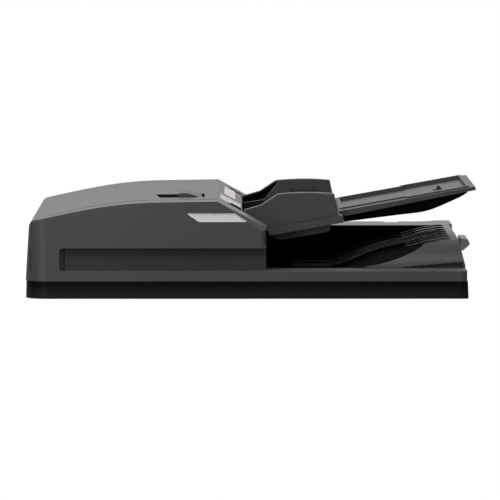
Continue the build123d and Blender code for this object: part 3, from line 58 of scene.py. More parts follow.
class Shader:
    """A material's node tree, with short ways to make and join its nodes."""

    def __init__(self, name):
        self.material = bpy.data.materials.new(name)
        self.material.use_nodes = True
        self.tree = self.material.node_tree
        self.bsdf = self.tree.nodes["Principled BSDF"]
        self.place = self.tree.nodes.new("ShaderNodeTexCoord").outputs["Object"]

    def node(self, kind, **inputs):
        """Makes a node and sets its inputs; a socket is linked and a value is set."""
        made = self.tree.nodes.new(kind)
        for key, value in inputs.items():
            self.put(made.inputs[key.replace("_", " ")], value)
        return made

    def put(self, socket, value):
        if isinstance(value, bpy.types.NodeSocket):
            self.tree.links.new(value, socket)
        else:
            socket.default_value = value

    def math(self, operation, first, second=0.0):
        made = self.tree.nodes.new("ShaderNodeMath")
        made.operation = operation
        self.put(made.inputs[0], first)
        self.put(made.inputs[1], second)
        return made.outputs[0]

    def stretched(self, scale):
        """Object coordinates scaled per axis, for grain that runs one way."""
        return self.node("ShaderNodeMapping", Vector=self.place, Scale=scale).outputs[0]

    def along(self, axis):
        """How far a point lies along an axis of the frame."""
        return self.node("ShaderNodeSeparateXYZ", Vector=self.place).outputs[axis]

    def noise(self, scale, detail=2.0, vector=None, rough=0.5):
        made = self.node("ShaderNodeTexNoise", Scale=scale, Detail=detail, Roughness=rough,
                         Vector=vector or self.place)
        return made.outputs["Fac"]

    def cells(self, scale):
        return self.node("ShaderNodeTexVoronoi", Scale=scale, Vector=self.place).outputs["Distance"]

    def remap(self, value, low, high, to_low, to_high):
        made = self.node("ShaderNodeMapRange", Value=value)
        for socket, limit in zip(list(made.inputs)[1:5], (low, high, to_low, to_high)):
            socket.default_value = limit
        return made.outputs[0]

    def mix(self, share, first, second, blend="MIX"):
        """Mixes two colours; a plain colour may be three numbers."""
        made = self.tree.nodes.new("ShaderNodeMix")
        made.data_type = "RGBA"
        made.blend_type = blend
        self.put(made.inputs[0], share)
        for socket, colour in ((made.inputs[6], first), (made.inputs[7], second)):
            if not isinstance(colour, bpy.types.NodeSocket):
                colour = (*colour, 1.0)
            self.put(socket, colour)
        return made.outputs[2]

    def edges(self, radius):
        """How much a point lies on a sharp edge, from 0 to 1, and the rounded normal there."""
        rounded = self.node("ShaderNodeBevel", Radius=radius).outputs[0]
        flat = self.tree.nodes.new("ShaderNodeNewGeometry").outputs["Normal"]
        dot = self.tree.nodes.new("ShaderNodeVectorMath")
        dot.operation = "DOT_PRODUCT"
        self.put(dot.inputs[0], rounded)
        self.put(dot.inputs[1], flat)
        return self.remap(dot.outputs["Value"], 0.995, 0.85, 0.0, 1.0), rounded

    def bump(self, height, strength, distance, normal=None):
        made = self.node("ShaderNodeBump", Height=height, Strength=strength, Distance=distance)
        if normal is not None:
            self.put(made.inputs["Normal"], normal)
        return made.outputs[0]

    def finish(self, colour, roughness, normal, **others):
        self.put(self.bsdf.inputs["Base Color"], colour)
        self.put(self.bsdf.inputs["Roughness"], roughness)
        if normal is not None:
            self.put(self.bsdf.inputs["Normal"], normal)
        for key, value in others.items():
            self.put(self.bsdf.inputs[key.replace("_", " ")], value)
        return self.material


def shade(colour, factor):
    """The same colour, lighter or darker."""
    return tuple(min(1.0, channel * factor) for channel in colour)


# ---------------------------------------------------------------- materials


def moulded(name, colour, roughness, grain=1.0, wear=0.35, specular=0.5, zone=None, dark=0.1, matt=0.4):
    """Moulded plastic: spark-eroded grain, faint flow marks, handling shine and rubbed edges.
    A zone is a function that gives where shade is painted: there the colour is darker and the shine is less,
    by dark and matt."""
    s = Shader(name)
    flow = s.noise(7.0, 3.0)
    patches = s.noise(55.0, 2.0)
    speckle = s.noise(2600.0, 2.0)
    pits = s.cells(1900.0)
    tone = s.mix(s.remap(flow, 0.3, 0.7, 0.0, 1.0), shade(colour, 0.94), shade(colour, 1.06))
    tone = s.mix(s.math("MULTIPLY", s.remap(speckle, 0.45, 0.7, 0.0, 1.0), 0.35), tone, shade(colour, 1.25))
    on_edge, rounded = s.edges(0.5 * MM)
    rubbed = s.math("MULTIPLY", on_edge, s.remap(patches, 0.35, 0.65, 0.4 * wear, wear))
    tone = s.mix(rubbed, tone, shade(colour, 1.9))
    # painted shade: the zone's share darkens the colour and dulls the shine
    if zone:
        share = zone(s)
        tone = s.mix(share, tone, s.mix(1.0, tone, (dark, dark, dark), "MULTIPLY"))
        specular = s.remap(share, 0.0, 1.0, specular, specular * matt)
    rough = s.remap(patches, 0.3, 0.7, roughness - 0.01, roughness + 0.01)
    rough = s.math("SUBTRACT", rough, s.math("MULTIPLY", rubbed, 0.12))
    texture = s.math("ADD", s.math("MULTIPLY", pits, 0.6), s.math("MULTIPLY", speckle, 0.4))
    normal = s.bump(texture, 0.22 * grain, 0.08 * MM, rounded)
    return s.finish(tone, rough, normal, Specular_IOR_Level=specular)


def plated_steel(name, colour):
    """Zinc-plated sheet and turned steel: drawn grain, soft spangle and a little tarnish."""
    s = Shader(name)
    drawn = s.noise(1.0, 3.0, s.stretched((60.0, 14.0, 2400.0)))
    spangle = s.cells(140.0)
    tarnish = s.noise(35.0, 4.0)
    tone = s.mix(s.remap(spangle, 0.1, 0.7, 0.0, 0.5), colour, shade(colour, 0.82))
    tone = s.mix(s.remap(tarnish, 0.55, 0.8, 0.0, 0.5), tone, (0.36, 0.34, 0.30))
    on_edge, rounded = s.edges(0.25 * MM)
    tone = s.mix(s.math("MULTIPLY", on_edge, 0.5), tone, shade(colour, 1.25))
    rough = s.remap(drawn, 0.3, 0.7, 0.24, 0.42)
    return s.finish(tone, rough, s.bump(drawn, 0.12, 0.03 * MM, rounded), Metallic=1.0)


def sintered(name, colour):
    """Sintered bronze, with open pores and an oil film."""
    s = Shader(name)
    pores = s.cells(1500.0)
    film = s.noise(90.0, 3.0)
    tone = s.mix(s.remap(pores, 0.0, 0.25, 1.0, 0.0), colour, shade(colour, 0.35))
    tone = s.mix(s.remap(film, 0.4, 0.7, 0.0, 0.5), tone, shade(colour, 0.7))
    rounded = s.edges(0.2 * MM)[1]
    normal = s.bump(pores, 0.35, 0.06 * MM, rounded)
    return s.finish(tone, s.remap(film, 0.3, 0.7, 0.32, 0.5), normal, Metallic=1.0)


def ground_rubber(name, colour, dusty=0.3):
    """Rubber with grinding marks along the axis and a film of paper dust."""
    s = Shader(name)
    grind = s.noise(1.0, 2.0, s.stretched((2600.0, 220.0, 2600.0)))
    dust = s.noise(120.0, 5.0, rough=0.65)
    tone = s.mix(s.remap(grind, 0.35, 0.65, 0.0, 0.5), shade(colour, 0.8), shade(colour, 1.2))
    tone = s.mix(s.math("MULTIPLY", s.remap(dust, 0.5, 0.75, 0.0, 1.0), dusty), tone, (0.34, 0.33, 0.31))
    rounded = s.edges(0.4 * MM)[1]
    return s.finish(tone, s.remap(dust, 0.3, 0.7, 0.62, 0.85), s.bump(grind, 0.35, 0.12 * MM, rounded))


def open_foam(name, colour):
    """Soft cellular foam with torn cells of mixed size."""
    s = Shader(name)
    large = s.cells(650.0)
    small = s.cells(1700.0)
    soil = s.noise(14.0, 3.0)
    pits = s.math("MULTIPLY", large, small)
    tone = s.mix(s.remap(pits, 0.02, 0.3, 0.0, 1.0), shade(colour, 0.45), shade(colour, 1.2))
    tone = s.mix(s.remap(soil, 0.4, 0.7, 0.0, 0.4), tone, shade(colour, 0.8))
    return s.finish(tone, 0.92, s.bump(pits, 0.9, 0.5 * MM), Sheen_Weight=0.25)


def white_film(name, colour):
    """Glossy film bonded to foam: faint orange peel, and scuffs from paper and glass."""
    s = Shader(name)
    peel = s.noise(160.0, 2.0)
    scuffs = s.noise(1.0, 4.0, s.stretched((22.0, 400.0, 90.0)))
    soil = s.noise(10.0, 4.0)
    tone = s.mix(s.remap(soil, 0.5, 0.8, 0.0, 0.6), colour, shade(colour, 0.9))
    rough = s.remap(scuffs, 0.45, 0.75, 0.22, 0.5)
    rounded = s.edges(0.3 * MM)[1]
    return s.finish(tone, rough, s.bump(peel, 0.08, 0.2 * MM, rounded), Coat_Weight=0.15)


def lens_plastic(name, colour):
    """Milky translucent lens: fine swirls under a smooth skin, and paler edges."""
    s = Shader(name)
    swirl = s.noise(40.0, 3.0)
    fine = s.noise(900.0, 2.0)
    tone = s.mix(s.remap(swirl, 0.35, 0.65, 0.0, 1.0), shade(colour, 0.97), shade(colour, 1.03))
    on_edge, rounded = s.edges(0.4 * MM)
    tone = s.mix(s.math("MULTIPLY", on_edge, 0.4), tone, shade(colour, 1.25))
    rough = s.remap(fine, 0.3, 0.7, 0.5, 0.58)
    return s.finish(tone, rough, s.bump(fine, 0.04, 0.05 * MM, rounded), Specular_IOR_Level=0.1)


def sensor_glass(name):
    """Float glass over a sensor: near black inside, with fingertip smears and a ground edge."""
    s = Shader(name)
    smear = s.noise(60.0, 4.0, rough=0.7)
    on_edge, rounded = s.edges(0.3 * MM)
    tone = s.mix(on_edge, (0.03, 0.045, 0.045), (0.25, 0.42, 0.38))
    rough = s.remap(smear, 0.45, 0.75, 0.03, 0.22)
    return s.finish(tone, rough, rounded, Coat_Weight=0.6, IOR=1.52, Specular_IOR_Level=0.7)


def solder_mask(name):
    """Circuit board: green mask, copper runs seen through it, and pale ink outlines."""
    s = Shader(name)
    runs = s.node("ShaderNodeTexBrick", Vector=s.stretched((150.0, 150.0, 210.0)), Scale=1.0,
                  Mortar_Size=0.05).outputs["Fac"]
    weave = s.noise(1.0, 2.0, s.stretched((900.0, 900.0, 900.0)))
    tone = s.mix(runs, (0.012, 0.085, 0.035), (0.035, 0.17, 0.06))
    tone = s.mix(s.remap(weave, 0.62, 0.7, 0.0, 0.35), tone, (0.45, 0.5, 0.42))
    normal = s.bump(runs, 0.4, 0.04 * MM)
    return s.finish(tone, s.remap(weave, 0.3, 0.7, 0.25, 0.38), normal, Coat_Weight=0.3)


LABEL_PARTING = 0.39         # where the grey label ends, as a share of both labels' depth


def paper_label(name):
    """Blank labels on the slanted panel: one grey with pale rules, one white with a warm tint."""
    s = Shader(name)
    low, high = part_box("panel_stickers")
    parting = low.y + LABEL_PARTING * (high.y - low.y)
    warm = s.remap(s.along("Y"), parting, parting + 0.1 * MM, 0.0, 1.0)
    rules = s.node("ShaderNodeTexWave", Scale=95.0, Distortion=1.6, Detail=2.0, Detail_Scale=14.0,
                   Vector=s.place)
    rules.bands_direction = "Y"
    fibres = s.noise(1200.0, 4.0)
    grey = s.mix(s.remap(rules.outputs["Fac"], 0.3, 0.7, 0.0, 1.0), (0.33, 0.33, 0.33), (0.52, 0.52, 0.52))
    tone = s.mix(warm, grey, (0.56, 0.50, 0.49))
    tone = s.mix(s.remap(fibres, 0.4, 0.7, 0.0, 0.25), tone, (0.5, 0.47, 0.46))
    return s.finish(tone, s.remap(fibres, 0.3, 0.7, 0.42, 0.6), s.bump(fibres, 0.1, 0.05 * MM))


def printed_ink(name, colour):
    """Pad-printed ink: thin, slightly broken, and glossier than the grained plastic below."""
    s = Shader(name)
    speck = s.noise(3000.0, 2.0)
    tone = s.mix(s.remap(speck, 0.3, 0.75, 0.0, 0.6), colour, shade(colour, 1.8))
    return s.finish(tone, s.remap(speck, 0.3, 0.7, 0.3, 0.5), s.bump(speck, 0.1, 0.03 * MM))


def cable_sheath(name, colour):
    """Soft cable sheath: matt, faintly wavy, scuffed where it bends."""
    s = Shader(name)
    wave = s.noise(260.0, 2.0)
    scuff = s.noise(700.0, 4.0)
    tone = s.mix(s.remap(scuff, 0.5, 0.75, 0.0, 0.5), colour, shade(colour, 2.2))
    return s.finish(tone, s.remap(scuff, 0.3, 0.7, 0.42, 0.6), s.bump(wave, 0.2, 0.2 * MM))


# ---------------------------------------------------------------- painted shade on the mouldings
# The crest of the exit tray's front wall runs at this slope from this depth, both as seen from above.
CREST_SLOPE = 0.53
CREST_AT = -282.9 * MM
# where each zone's soft edges start and end, in mm
CREST_SOFT = (0.0, 1.2)
WELL_BACK = (172.4, 172.6)
WELL_FADE = (240, 280)
RECESS_MOUTH = (-247.5, -245.5)
RECESS_BACK = (-244.5, -244.0)
RECESS_TOP = (70.0, 70.5)
RECESS_FOOT = (39.1, 39.4)
SLOTS_BEHIND = (-200, -198)
THROAT_WALL = (161.2, 161.4)
THROAT_END = (23, 31)
BASE_SHADE_BAND = (8, 21)


def rising(s, value, start, end):
    """0 up to a start and 1 from an end, both in mm."""
    return s.remap(value, start * MM, end * MM, 0.0, 1.0)


def falling(s, value, start, end):
    """1 up to a start and 0 from an end, both in mm."""
    return s.remap(value, start * MM, end * MM, 1.0, 0.0)


def all_of(s, *shares):
    """The product of several shares."""
    total = shares[0]
    for share in shares[1:]:
        total = s.math("MULTIPLY", total, share)
    return total


def facing_front(s):
    """1 on faces that look to the front."""
    normal = s.tree.nodes.new("ShaderNodeNewGeometry").outputs["Normal"]
    return s.remap(s.node("ShaderNodeSeparateXYZ", Vector=normal).outputs["Y"], -0.4, -0.6, 0.0, 1.0)


def well_shade(s):
    """Painted shade in the exit tray's well, where the feed tray above shades it: behind the crest of its
    front wall, up to the rear rail, fading to the right.
    """
    crest = s.math("ADD", s.math("MULTIPLY", s.along("X"), CREST_SLOPE), CREST_AT)
    inside = rising(s, s.math("SUBTRACT", s.along("Y"), crest), *CREST_SOFT)
    return all_of(s, inside, falling(s, s.along("Y"), *WELL_BACK), falling(s, s.along("X"), *WELL_FADE))


def recess_shade(s):
    """The floor of the finger recess, painted darker and duller as the shade under its overhang."""
    depth = all_of(s, rising(s, s.along("Y"), *RECESS_MOUTH), falling(s, s.along("Y"), *RECESS_BACK))
    height = all_of(s, falling(s, s.along("Z"), *RECESS_TOP), rising(s, s.along("Z"), *RECESS_FOOT))
    return all_of(s, depth, height)


def slot_shade(s):
    """Painted shadow on the walls of the slots and of the lever's pocket in the top cover."""
    return all_of(s, facing_front(s), rising(s, s.along("Y"), *SLOTS_BEHIND))


def throat_shade(s):
    """Painted shade inside the rear guide's outer wall, seen through its throat, and on its inner face below
    the throat.
    """
    outer = rising(s, s.along("Y"), *THROAT_WALL)
    throat = falling(s, s.along("X"), *THROAT_END)
    return all_of(s, facing_front(s), s.math("MAXIMUM", outer, throat))


def base_overhang_shade(s):
    """The top of the base, painted darker as the shade below the casings' overhang."""
    return rising(s, s.along("Z"), *BASE_SHADE_BAND)


SHELL = (0.040, 0.040, 0.041)
LOOKS = {
    "shell_grey": moulded("shell_grey", SHELL, 0.47),
    "tray_grey": moulded("tray_grey", shade(SHELL, 0.8), 0.5),
    # base_black is painted darker towards its top, as shade below the casings' overhang
    "base_black": moulded("base_black", (0.0072, 0.0072, 0.0076), 0.5, grain=0.6, wear=0.2, specular=0.16,
                          zone=base_overhang_shade, dark=0.25),
    "guide_black": moulded("guide_black", (0.014, 0.014, 0.015), 0.38, grain=0.4, wear=0.5),
    "lever_grey": moulded("lever_grey", shade(SHELL, 0.8), 0.5, grain=0.8),
    # pull_grey is light grey of its own, painted lighter still as light on the exit stop's tab, which sits in
    # shade
    "pull_grey": moulded("pull_grey", (0.6, 0.6, 0.605), 0.5),
    "flap_black": moulded("flap_black", (0.01, 0.01, 0.011), 0.45, grain=0.5),
    "gear_white": moulded("gear_white", (0.68, 0.66, 0.61), 0.36, grain=0.3, wear=0.15),
    "motor_metal": plated_steel("motor_metal", (0.32, 0.32, 0.33)),
    "window": lens_plastic("window", (0.56, 0.56, 0.565)),
    "foam": open_foam("foam", (0.07, 0.07, 0.072)),
    "platen_white": white_film("platen_white", (0.78, 0.78, 0.76)),
    "steel": plated_steel("steel", (0.56, 0.56, 0.57)),
    "bronze": sintered("bronze", (0.42, 0.29, 0.14)),
    "rubber": ground_rubber("rubber", (0.10, 0.10, 0.105)),
    "belt_black": ground_rubber("belt_black", (0.018, 0.018, 0.018), 0.1),
    "sensor_glass": sensor_glass("sensor_glass"),
    "board_green": solder_mask("board_green"),
    "cable_black": cable_sheath("cable_black", (0.014, 0.014, 0.015)),
    "sticker": paper_label("sticker"),
}
INK = printed_ink("ink", (0.002, 0.002, 0.002))
# painted highlight: a lighter plastic for the throat ribs and the rim ribs' caps, standing for the light they
# catch
EDGE_HIGHLIGHT = moulded("edge_highlight", shade(SHELL, 2.6), 0.36)
# painted highlight: near-white caps on the exit tray's ribs, standing for the light on their tops in the
# shade
RIB_CAP_HIGHLIGHT = moulded("rib_cap_highlight", shade(SHELL, 14.0), 0.36)
# nodes with a finish of their own; all but the underbox carry painted shade
OWN_LOOKS = {
    # painted shade in the well: dark and without shine, standing for the feed tray's shadow
    "exit_tray": moulded("exit_tray_well_shade", shade(SHELL, 0.75), 0.40, zone=well_shade, dark=0.2, matt=0.0),
    # painted shade on the floor of the finger recess
    "front_cover": moulded("front_cover_recess_shade", SHELL, 0.47, zone=recess_shade, dark=0.55, matt=0.6),
    # painted shadow on the walls of the slots and the lever's pocket
    "top_cover": moulded("top_cover_slot_shade", SHELL, 0.47, zone=slot_shade, dark=0.15),
    # painted shade at the throat; the whole guide is also painted darker than the front guide's tray_grey, as
    # shade
    "rear_guide": moulded("rear_guide_throat_shade", shade(SHELL, 0.62), 0.5, zone=throat_shade),
    "tray_underbox": moulded("underbox_grey", shade(SHELL, 1.2), 0.5),
}

for part in frame["record"]["subparts"]:
    mesh = nodes[part["node"]].data
    mesh.materials.clear()
    mesh.materials.append(OWN_LOOKS.get(part["node"], LOOKS[part["material_slot"]]))

# ---------------------------------------------------------------- mesh helpers
BODY_OF = {}
for body, members in frame["record"]["behaviour"]["bodies"].items():
    for node in members:
        BODY_OF[node] = body
CENTRE = {joint["name"]: Vector(joint["pos_m"]) for joint in frame["record"]["behaviour"]["joints"]
          if "pos_m" in joint}
SLOT_OF = {part["node"]: part["material_slot"] for part in frame["record"]["subparts"]}
SHARP = math.radians(32)     # edges steeper than this stay sharp on a smooth piece


def piece(name, points, faces, node, look=None, smooth=False):
    """A shown piece from points and faces; it moves with a CAD node's body and takes that node's finish."""
    mesh = bpy.data.meshes.new(name)
    mesh.from_pydata([tuple(point) for point in points], [], faces)
    shape = bmesh.new()
    shape.from_mesh(mesh)
    bmesh.ops.recalc_face_normals(shape, faces=shape.faces)
    shape.to_mesh(mesh)
    shape.free()
    mesh.materials.append(look or LOOKS[SLOT_OF[node]])
    if smooth:
        mesh.shade_smooth()
        mesh.set_sharp_from_angle(angle=SHARP)
    made = bpy.data.objects.new(name, mesh)
    bpy.context.scene.collection.objects.link(made)
    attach(made, BODY_OF[node])
    return made


def skin(rings, loop=False):
    """Points and faces of a skin through rings that have the same number of points; a loop has no ends."""
    size = len(rings[0])
    points = [point for ring in rings for point in ring]
    faces = []
    for k in range(len(rings) if loop else len(rings) - 1):
        near, far = k * size, (k + 1) % len(rings) * size
        for i in range(size):
            j = (i + 1) % size
            faces.append((near + i, near + j, far + j, far + i))
    if not loop:
        faces.append(tuple(range(size)))
        faces.append(tuple(range((len(rings) - 1) * size, len(rings) * size)))
    return points, faces


def joined(parts):
    """Several sets of points and faces as one."""
    points, faces = [], []
    for some_points, some_faces in parts:
        start = len(points)
        points += some_points
        faces += [tuple(start + i for i in face) for face in some_faces]
    return points, faces


def inset(loop, distance):
    """A counter-clockwise loop of flat points, moved inwards along its mitres."""
    moved = []
    for k, here in enumerate(loop):
        before = (here - loop[k - 1]).normalized()
        after = (loop[(k + 1) % len(loop)] - here).normalized()
        normal = Vector((-before.y - after.y, before.x + after.x))
        moved.append(here + normal * distance / (1 + before.dot(after)))
    return moved


def rounded(corners, radii, steps=6):
    """A counter-clockwise loop of flat points with its corners rounded."""
    loop = []
    for k, corner in enumerate(corners):
        radius = radii[k]
        back = (corners[k - 1] - corner).normalized()
        ahead = (corners[(k + 1) % len(corners)] - corner).normalized()
        half = back.angle(ahead) / 2
        centre = corner + (back + ahead).normalized() * radius / math.sin(half)
        first = corner + back * radius / math.tan(half) - centre
        sweep = math.pi - 2 * half
        for i in range(steps + 1):
            turn = sweep * i / steps
            loop.append(centre + Vector((first.x * math.cos(turn) - first.y * math.sin(turn),
                                         first.x * math.sin(turn) + first.y * math.cos(turn))))
    return loop


def standing(loop, y):
    """A flat loop in x and z, standing at depth y."""
    return [(point.x, y, point.y) for point in loop]


def plan(low, high):
    """The counter-clockwise corners of a box, seen from above."""
    return [Vector(corner) for corner in ((low.x, low.y), (high.x, low.y), (high.x, high.y), (low.x, high.y))]


def upper_side(node):
    """A function that gives the point on a node's upper side at x and y in mm, or None beside the node."""
    mesh = nodes[node].data
    tree = BVHTree.FromPolygons([v.co for v in mesh.vertices], [f.vertices for f in mesh.polygons])

    def at(x, y):
        return tree.ray_cast(Vector((x * MM, y * MM, ABOVE)), Vector((0.0, 0.0, -1.0)))[0]

    return at


# ---------------------------------------------------------------- soft pad under the base
# height up the pad and how far its side stands in; the sides swell and the corners are soft
PAD_PROFILE = [(0.0, 2.4), (0.03, 1.3), (0.12, 0.45), (0.3, 0.0), (0.55, -0.15), (0.8, 0.25), (0.95, 0.9),
               (1.0, 1.8)]
PAD_STEPS = 12               # points along each side
PAD_WANDER = 0.35 * MM       # how far its edge wanders in and out


def foam_pad():
    """Glued foam pad behind the white film: its sides swell, and its edge wanders a little."""
    low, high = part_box("platen_foam")
    middle = Vector(((low.x + high.x) / 2, (low.y + high.y) / 2))
    corners = plan(low, high)
    edge = []
    for k, corner in enumerate(corners):
        ahead = corners[(k + 1) % len(corners)]
        for i in range(PAD_STEPS):
            edge.append(corner.lerp(ahead, (i + 0.5) / PAD_STEPS))
    rings = []
    for share, inwards in PAD_PROFILE:
        ring = []
        for k, point in enumerate(edge):
            wander = PAD_WANDER * math.sin(2.1 * k) * math.sin(0.37 * k + 4 * share)
            soft = point - (point - middle).normalized() * (inwards * MM + wander)
            ring.append((soft.x, soft.y, low.z + share * (high.z - low.z)))
        rings.append(ring)
    made = piece("foam_pad", *skin(rings), "platen_foam", smooth=True)
    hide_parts("platen_foam")


# ---------------------------------------------------------------- lit window
LENS_RUN = (16.5 * MM, 17.0 * MM)     # how far its two slanted ends run in x
LENS_CORNER = 9 * MM
LENS_EDGE = 0.8 * MM         # radius of its other corners
# depth behind the front face and inset of each ring, from the back of the lens to its sunk face
LENS_RINGS = [(2.4, 0.0), (0.5, 0.0), (0.15, 0.12), (0.0, 0.4), (0.0, 1.1), (0.15, 1.35), (0.55, 1.5)]


def window_lens():
    """Milky indicator lens with a raised, rounded rim that catches the light."""
    low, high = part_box("indicator_window")
    corners = [Vector((low.x + LENS_RUN[0], low.z)), Vector((high.x, low.z)),
               Vector((high.x - LENS_RUN[1], high.z)), Vector((low.x, high.z))]
    loop = rounded(corners, [LENS_CORNER, LENS_EDGE, LENS_EDGE, LENS_EDGE])
    rings = [standing(inset(loop, inwards * MM), low.y + depth * MM) for depth, inwards in LENS_RINGS]
    made = piece("window_lens", *skin(rings), "indicator_window")
    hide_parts("indicator_window")


# ---------------------------------------------------------------- width guides
RIB_PATH = [(-2.8, 105.4), (25.8, 109.7), (44.0, 132.1)]     # edge of the throat, in mm
RIB_WIDE = 1.1 * MM
# how far each ring of the rib lies behind the guide's inner face, and its inset
RIB_RINGS = [(0.3, 0.0), (-0.5, 0.0), (-0.7, 0.22)]
MARK_SLOPE = math.radians(6.6)        # the fill mark lies along the tray
MARK_FOOT = Vector((0.0876, 0.1210))
# the mark's outlines, along the tray and up from it in mm, and where each dash and arrow stands
MARK_LINE = [(0, 0), (16.5, 0), (16.5, 1.7), (0, 1.7)]
MARK_DASH = [(0, 2.2), (3, 2.2), (3, 4.8), (0, 4.8)]
MARK_ARROW = [(0, 2.4), (3, 5.2), (1, 5.2), (1, 8.2), (-1, 8.2), (-1, 5.2), (-3, 5.2)]
MARKS = [(MARK_LINE, 0), (MARK_DASH, -13.5), (MARK_DASH, -9.0), (MARK_DASH, -4.5), (MARK_ARROW, -21.0),
         (MARK_ARROW, 9.0)]
INK_SUNK = 0.02 * MM
INK_THICK = 0.06 * MM


def guide_rib(node, side):
    """Raised edge of a guide's throat, on its inner face, in a lighter look that paints the highlight on it.
    """
    low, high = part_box(node)
    face = low.y if side < 0 else high.y
    path = [Vector(point) * MM for point in RIB_PATH]
    left, right = [], []
    for k, here in enumerate(path):
        before = (here - path[k - 1]).normalized() if k else (path[1] - here).normalized()
        after = (path[k + 1] - here).normalized() if k + 1 < len(path) else before
        normal = Vector((-before.y - after.y, before.x + after.x)) / (1 + before.dot(after))
        left.append(here + normal * RIB_WIDE / 2)
        right.append(here - normal * RIB_WIDE / 2)
    loop = right + left[::-1]
    rings = [standing(inset(loop, inwards * MM), face - side * behind * MM) for behind, inwards in RIB_RINGS]
    piece(node + "_throat_highlight_rib", *skin(rings), node, look=EDGE_HIGHLIGHT)


def fill_mark():
    """Printed fill mark on the rear guide: a line, three plain dashes and two arrows that point down."""
    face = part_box("rear_guide")[0].y
    along = Vector((math.cos(MARK_SLOPE), math.sin(MARK_SLOPE)))
    up = Vector((-along.y, along.x))

    parts = []
    for corners, start in MARKS:
        loop = [MARK_FOOT + along * (start + a) * MM + up * h * MM for a, h in corners]
        parts.append(skin([standing(loop, face + INK_SUNK), standing(loop, face - INK_THICK)]))
    piece("fill_mark", *joined(parts), "rear_guide", look=INK)


# ---------------------------------------------------------------- exit tray ribs
# the caps are light strips that paint the highlights on the ribs
CAP_STEP = 4                 # distance between a cap's rings, in mm
CAP_THICK = 0.35 * MM
# piece, look, pitch of the ribs in y, ribs on each side of the middle, start and end in x, half width
CAPS = [("exit_rib_highlight_caps", RIB_CAP_HIGHLIGHT, 24, 2, 64, 268, 0.8),
        ("exit_rim_highlight_caps", EDGE_HIGHLIGHT, 43, 3, 220, 276, 1.2)]


def rib_caps():
    """Light strips on the tops of the exit tray's ribs, painted highlights in their shade; they follow the
    ribs' own height.
    """
    surface = upper_side("exit_tray")
    # place across the cap, as a share of its half width, and height, as a share of its thickness
    section = [(-1, -1), (-1, 0.5), (-0.6, 1), (0.6, 1), (1, 0.5), (1, -1)]
    for name, look, pitch, count, start, end, half in CAPS:
        parts = []
        for k in range(-count, count + 1):
            y = PAPER_MID + pitch * k
            rings = []
            for x in range(start, end + 1, CAP_STEP):
                top = surface(x, y)
                if top is not None:
                    rings.append([(top.x, (y + across * half) * MM, top.z + up * CAP_THICK)
                                  for across, up in section])
            parts.append(skin(rings))
        piece(name, *joined(parts), "exit_tray", look=look)


# ---------------------------------------------------------------- painted shadow in the seam of the top cover
SEAM_AT = -203.4             # depth of the seam's middle, in mm
SEAM_RUN = range(-276, -39, 4)
SEAM_BESIDE = 2              # its height is taken from the cover this far in front
SEAM_WIDE = 0.9
SEAM_PROUD = 0.4


def seam_shadow_strip():
    """Dark strip that lies in the seam between the front cover and the top cover, as painted shadow of the
    seam.
    """
    surface = upper_side("front_cover")
    section = [(-1, -1.2), (-1, 0.4), (-0.5, 1), (0.5, 1), (1, 0.4), (1, -1.2)]
    rings = []
    for x in SEAM_RUN:
        top = surface(x, SEAM_AT - SEAM_BESIDE)
        if top is not None:
            rings.append([(top.x, (SEAM_AT + across * SEAM_WIDE / 2) * MM, top.z + up * SEAM_PROUD * MM)
                          for across, up in section])
    piece("top_seam_shadow", *skin(rings), "front_cover", look=LOOKS["guide_black"])


# ---------------------------------------------------------------- dark lips that paint the shadow in the slots of the slanted panel
LIP_LINES = (-152.0, 174.0)  # depth of each lip, in mm
LIP_RUN = range(-26, -7)
LIP_BESIDE = 2.5             # their height is taken from the panel this far towards its middle
LIP_TALL = 1.9
LIP_WIDE = 0.8
LIP_SUNK = 0.5
LIP_ROUND = 0.2
LIP_NOTCH = (-24, 1.6)       # left of here the lips are taller, by this factor


def slot_shadow_lips():
    """Black lips that stand at the slots beside the slanted panel, as painted shadow in the slots."""
    surface = upper_side("top_cover")
    parts = []
    for y in LIP_LINES:
        rings = []
        for x in LIP_RUN:
            top = surface(x, y + math.copysign(LIP_BESIDE, -y))
            tall = LIP_TALL * (LIP_NOTCH[1] if x < LIP_NOTCH[0] else 1)
            shoulder = tall - LIP_ROUND
            foot = -LIP_SUNK
            section = [(-1, foot), (-1, shoulder), (-0.5, tall), (0.5, tall), (1, shoulder), (1, foot)]
            if top is not None:
                rings.append([(top.x, (y + across * LIP_WIDE / 2) * MM, top.z + up * MM)
                              for across, up in section])
        parts.append(skin(rings))
    piece("panel_slot_shadow_lips", *joined(parts), "top_cover", look=LOOKS["flap_black"])


# ---------------------------------------------------------------- toothed belts
BELT_PITCH = 2.0 * MM
BELT_CLEAR = 0.05 * MM
BELT_T = 1.0 * MM
BELT_EDGE = 0.2 * MM         # chamfer of its back
TOOTH_DEEP = 0.42 * MM
# place within one pitch and depth from the belt's inner side, round one tooth
TOOTH = [(0.0, TOOTH_DEEP), (0.32, TOOTH_DEEP), (0.46, 0.0), (0.86, 0.0)]
# name, first axis and teeth, second axis and teeth, and the belt's two edges behind the CAD belts' front
DRIVE_BELTS = [("drum_belt", "drum_spin", 54, "register_spin", 18, 0.0, 3.0),
               ("feed_belt", "idler_spin", 20, "feed_spin", 26, 7.5, 11.5),
               ("exit_belt", "idler_spin", 25, "exit_spin", 20, 15.5, 19.5)]
PICKUP_BELT = ("pickup_toothed_belt", "feed_spin", 20, "pickup_spin", 17)


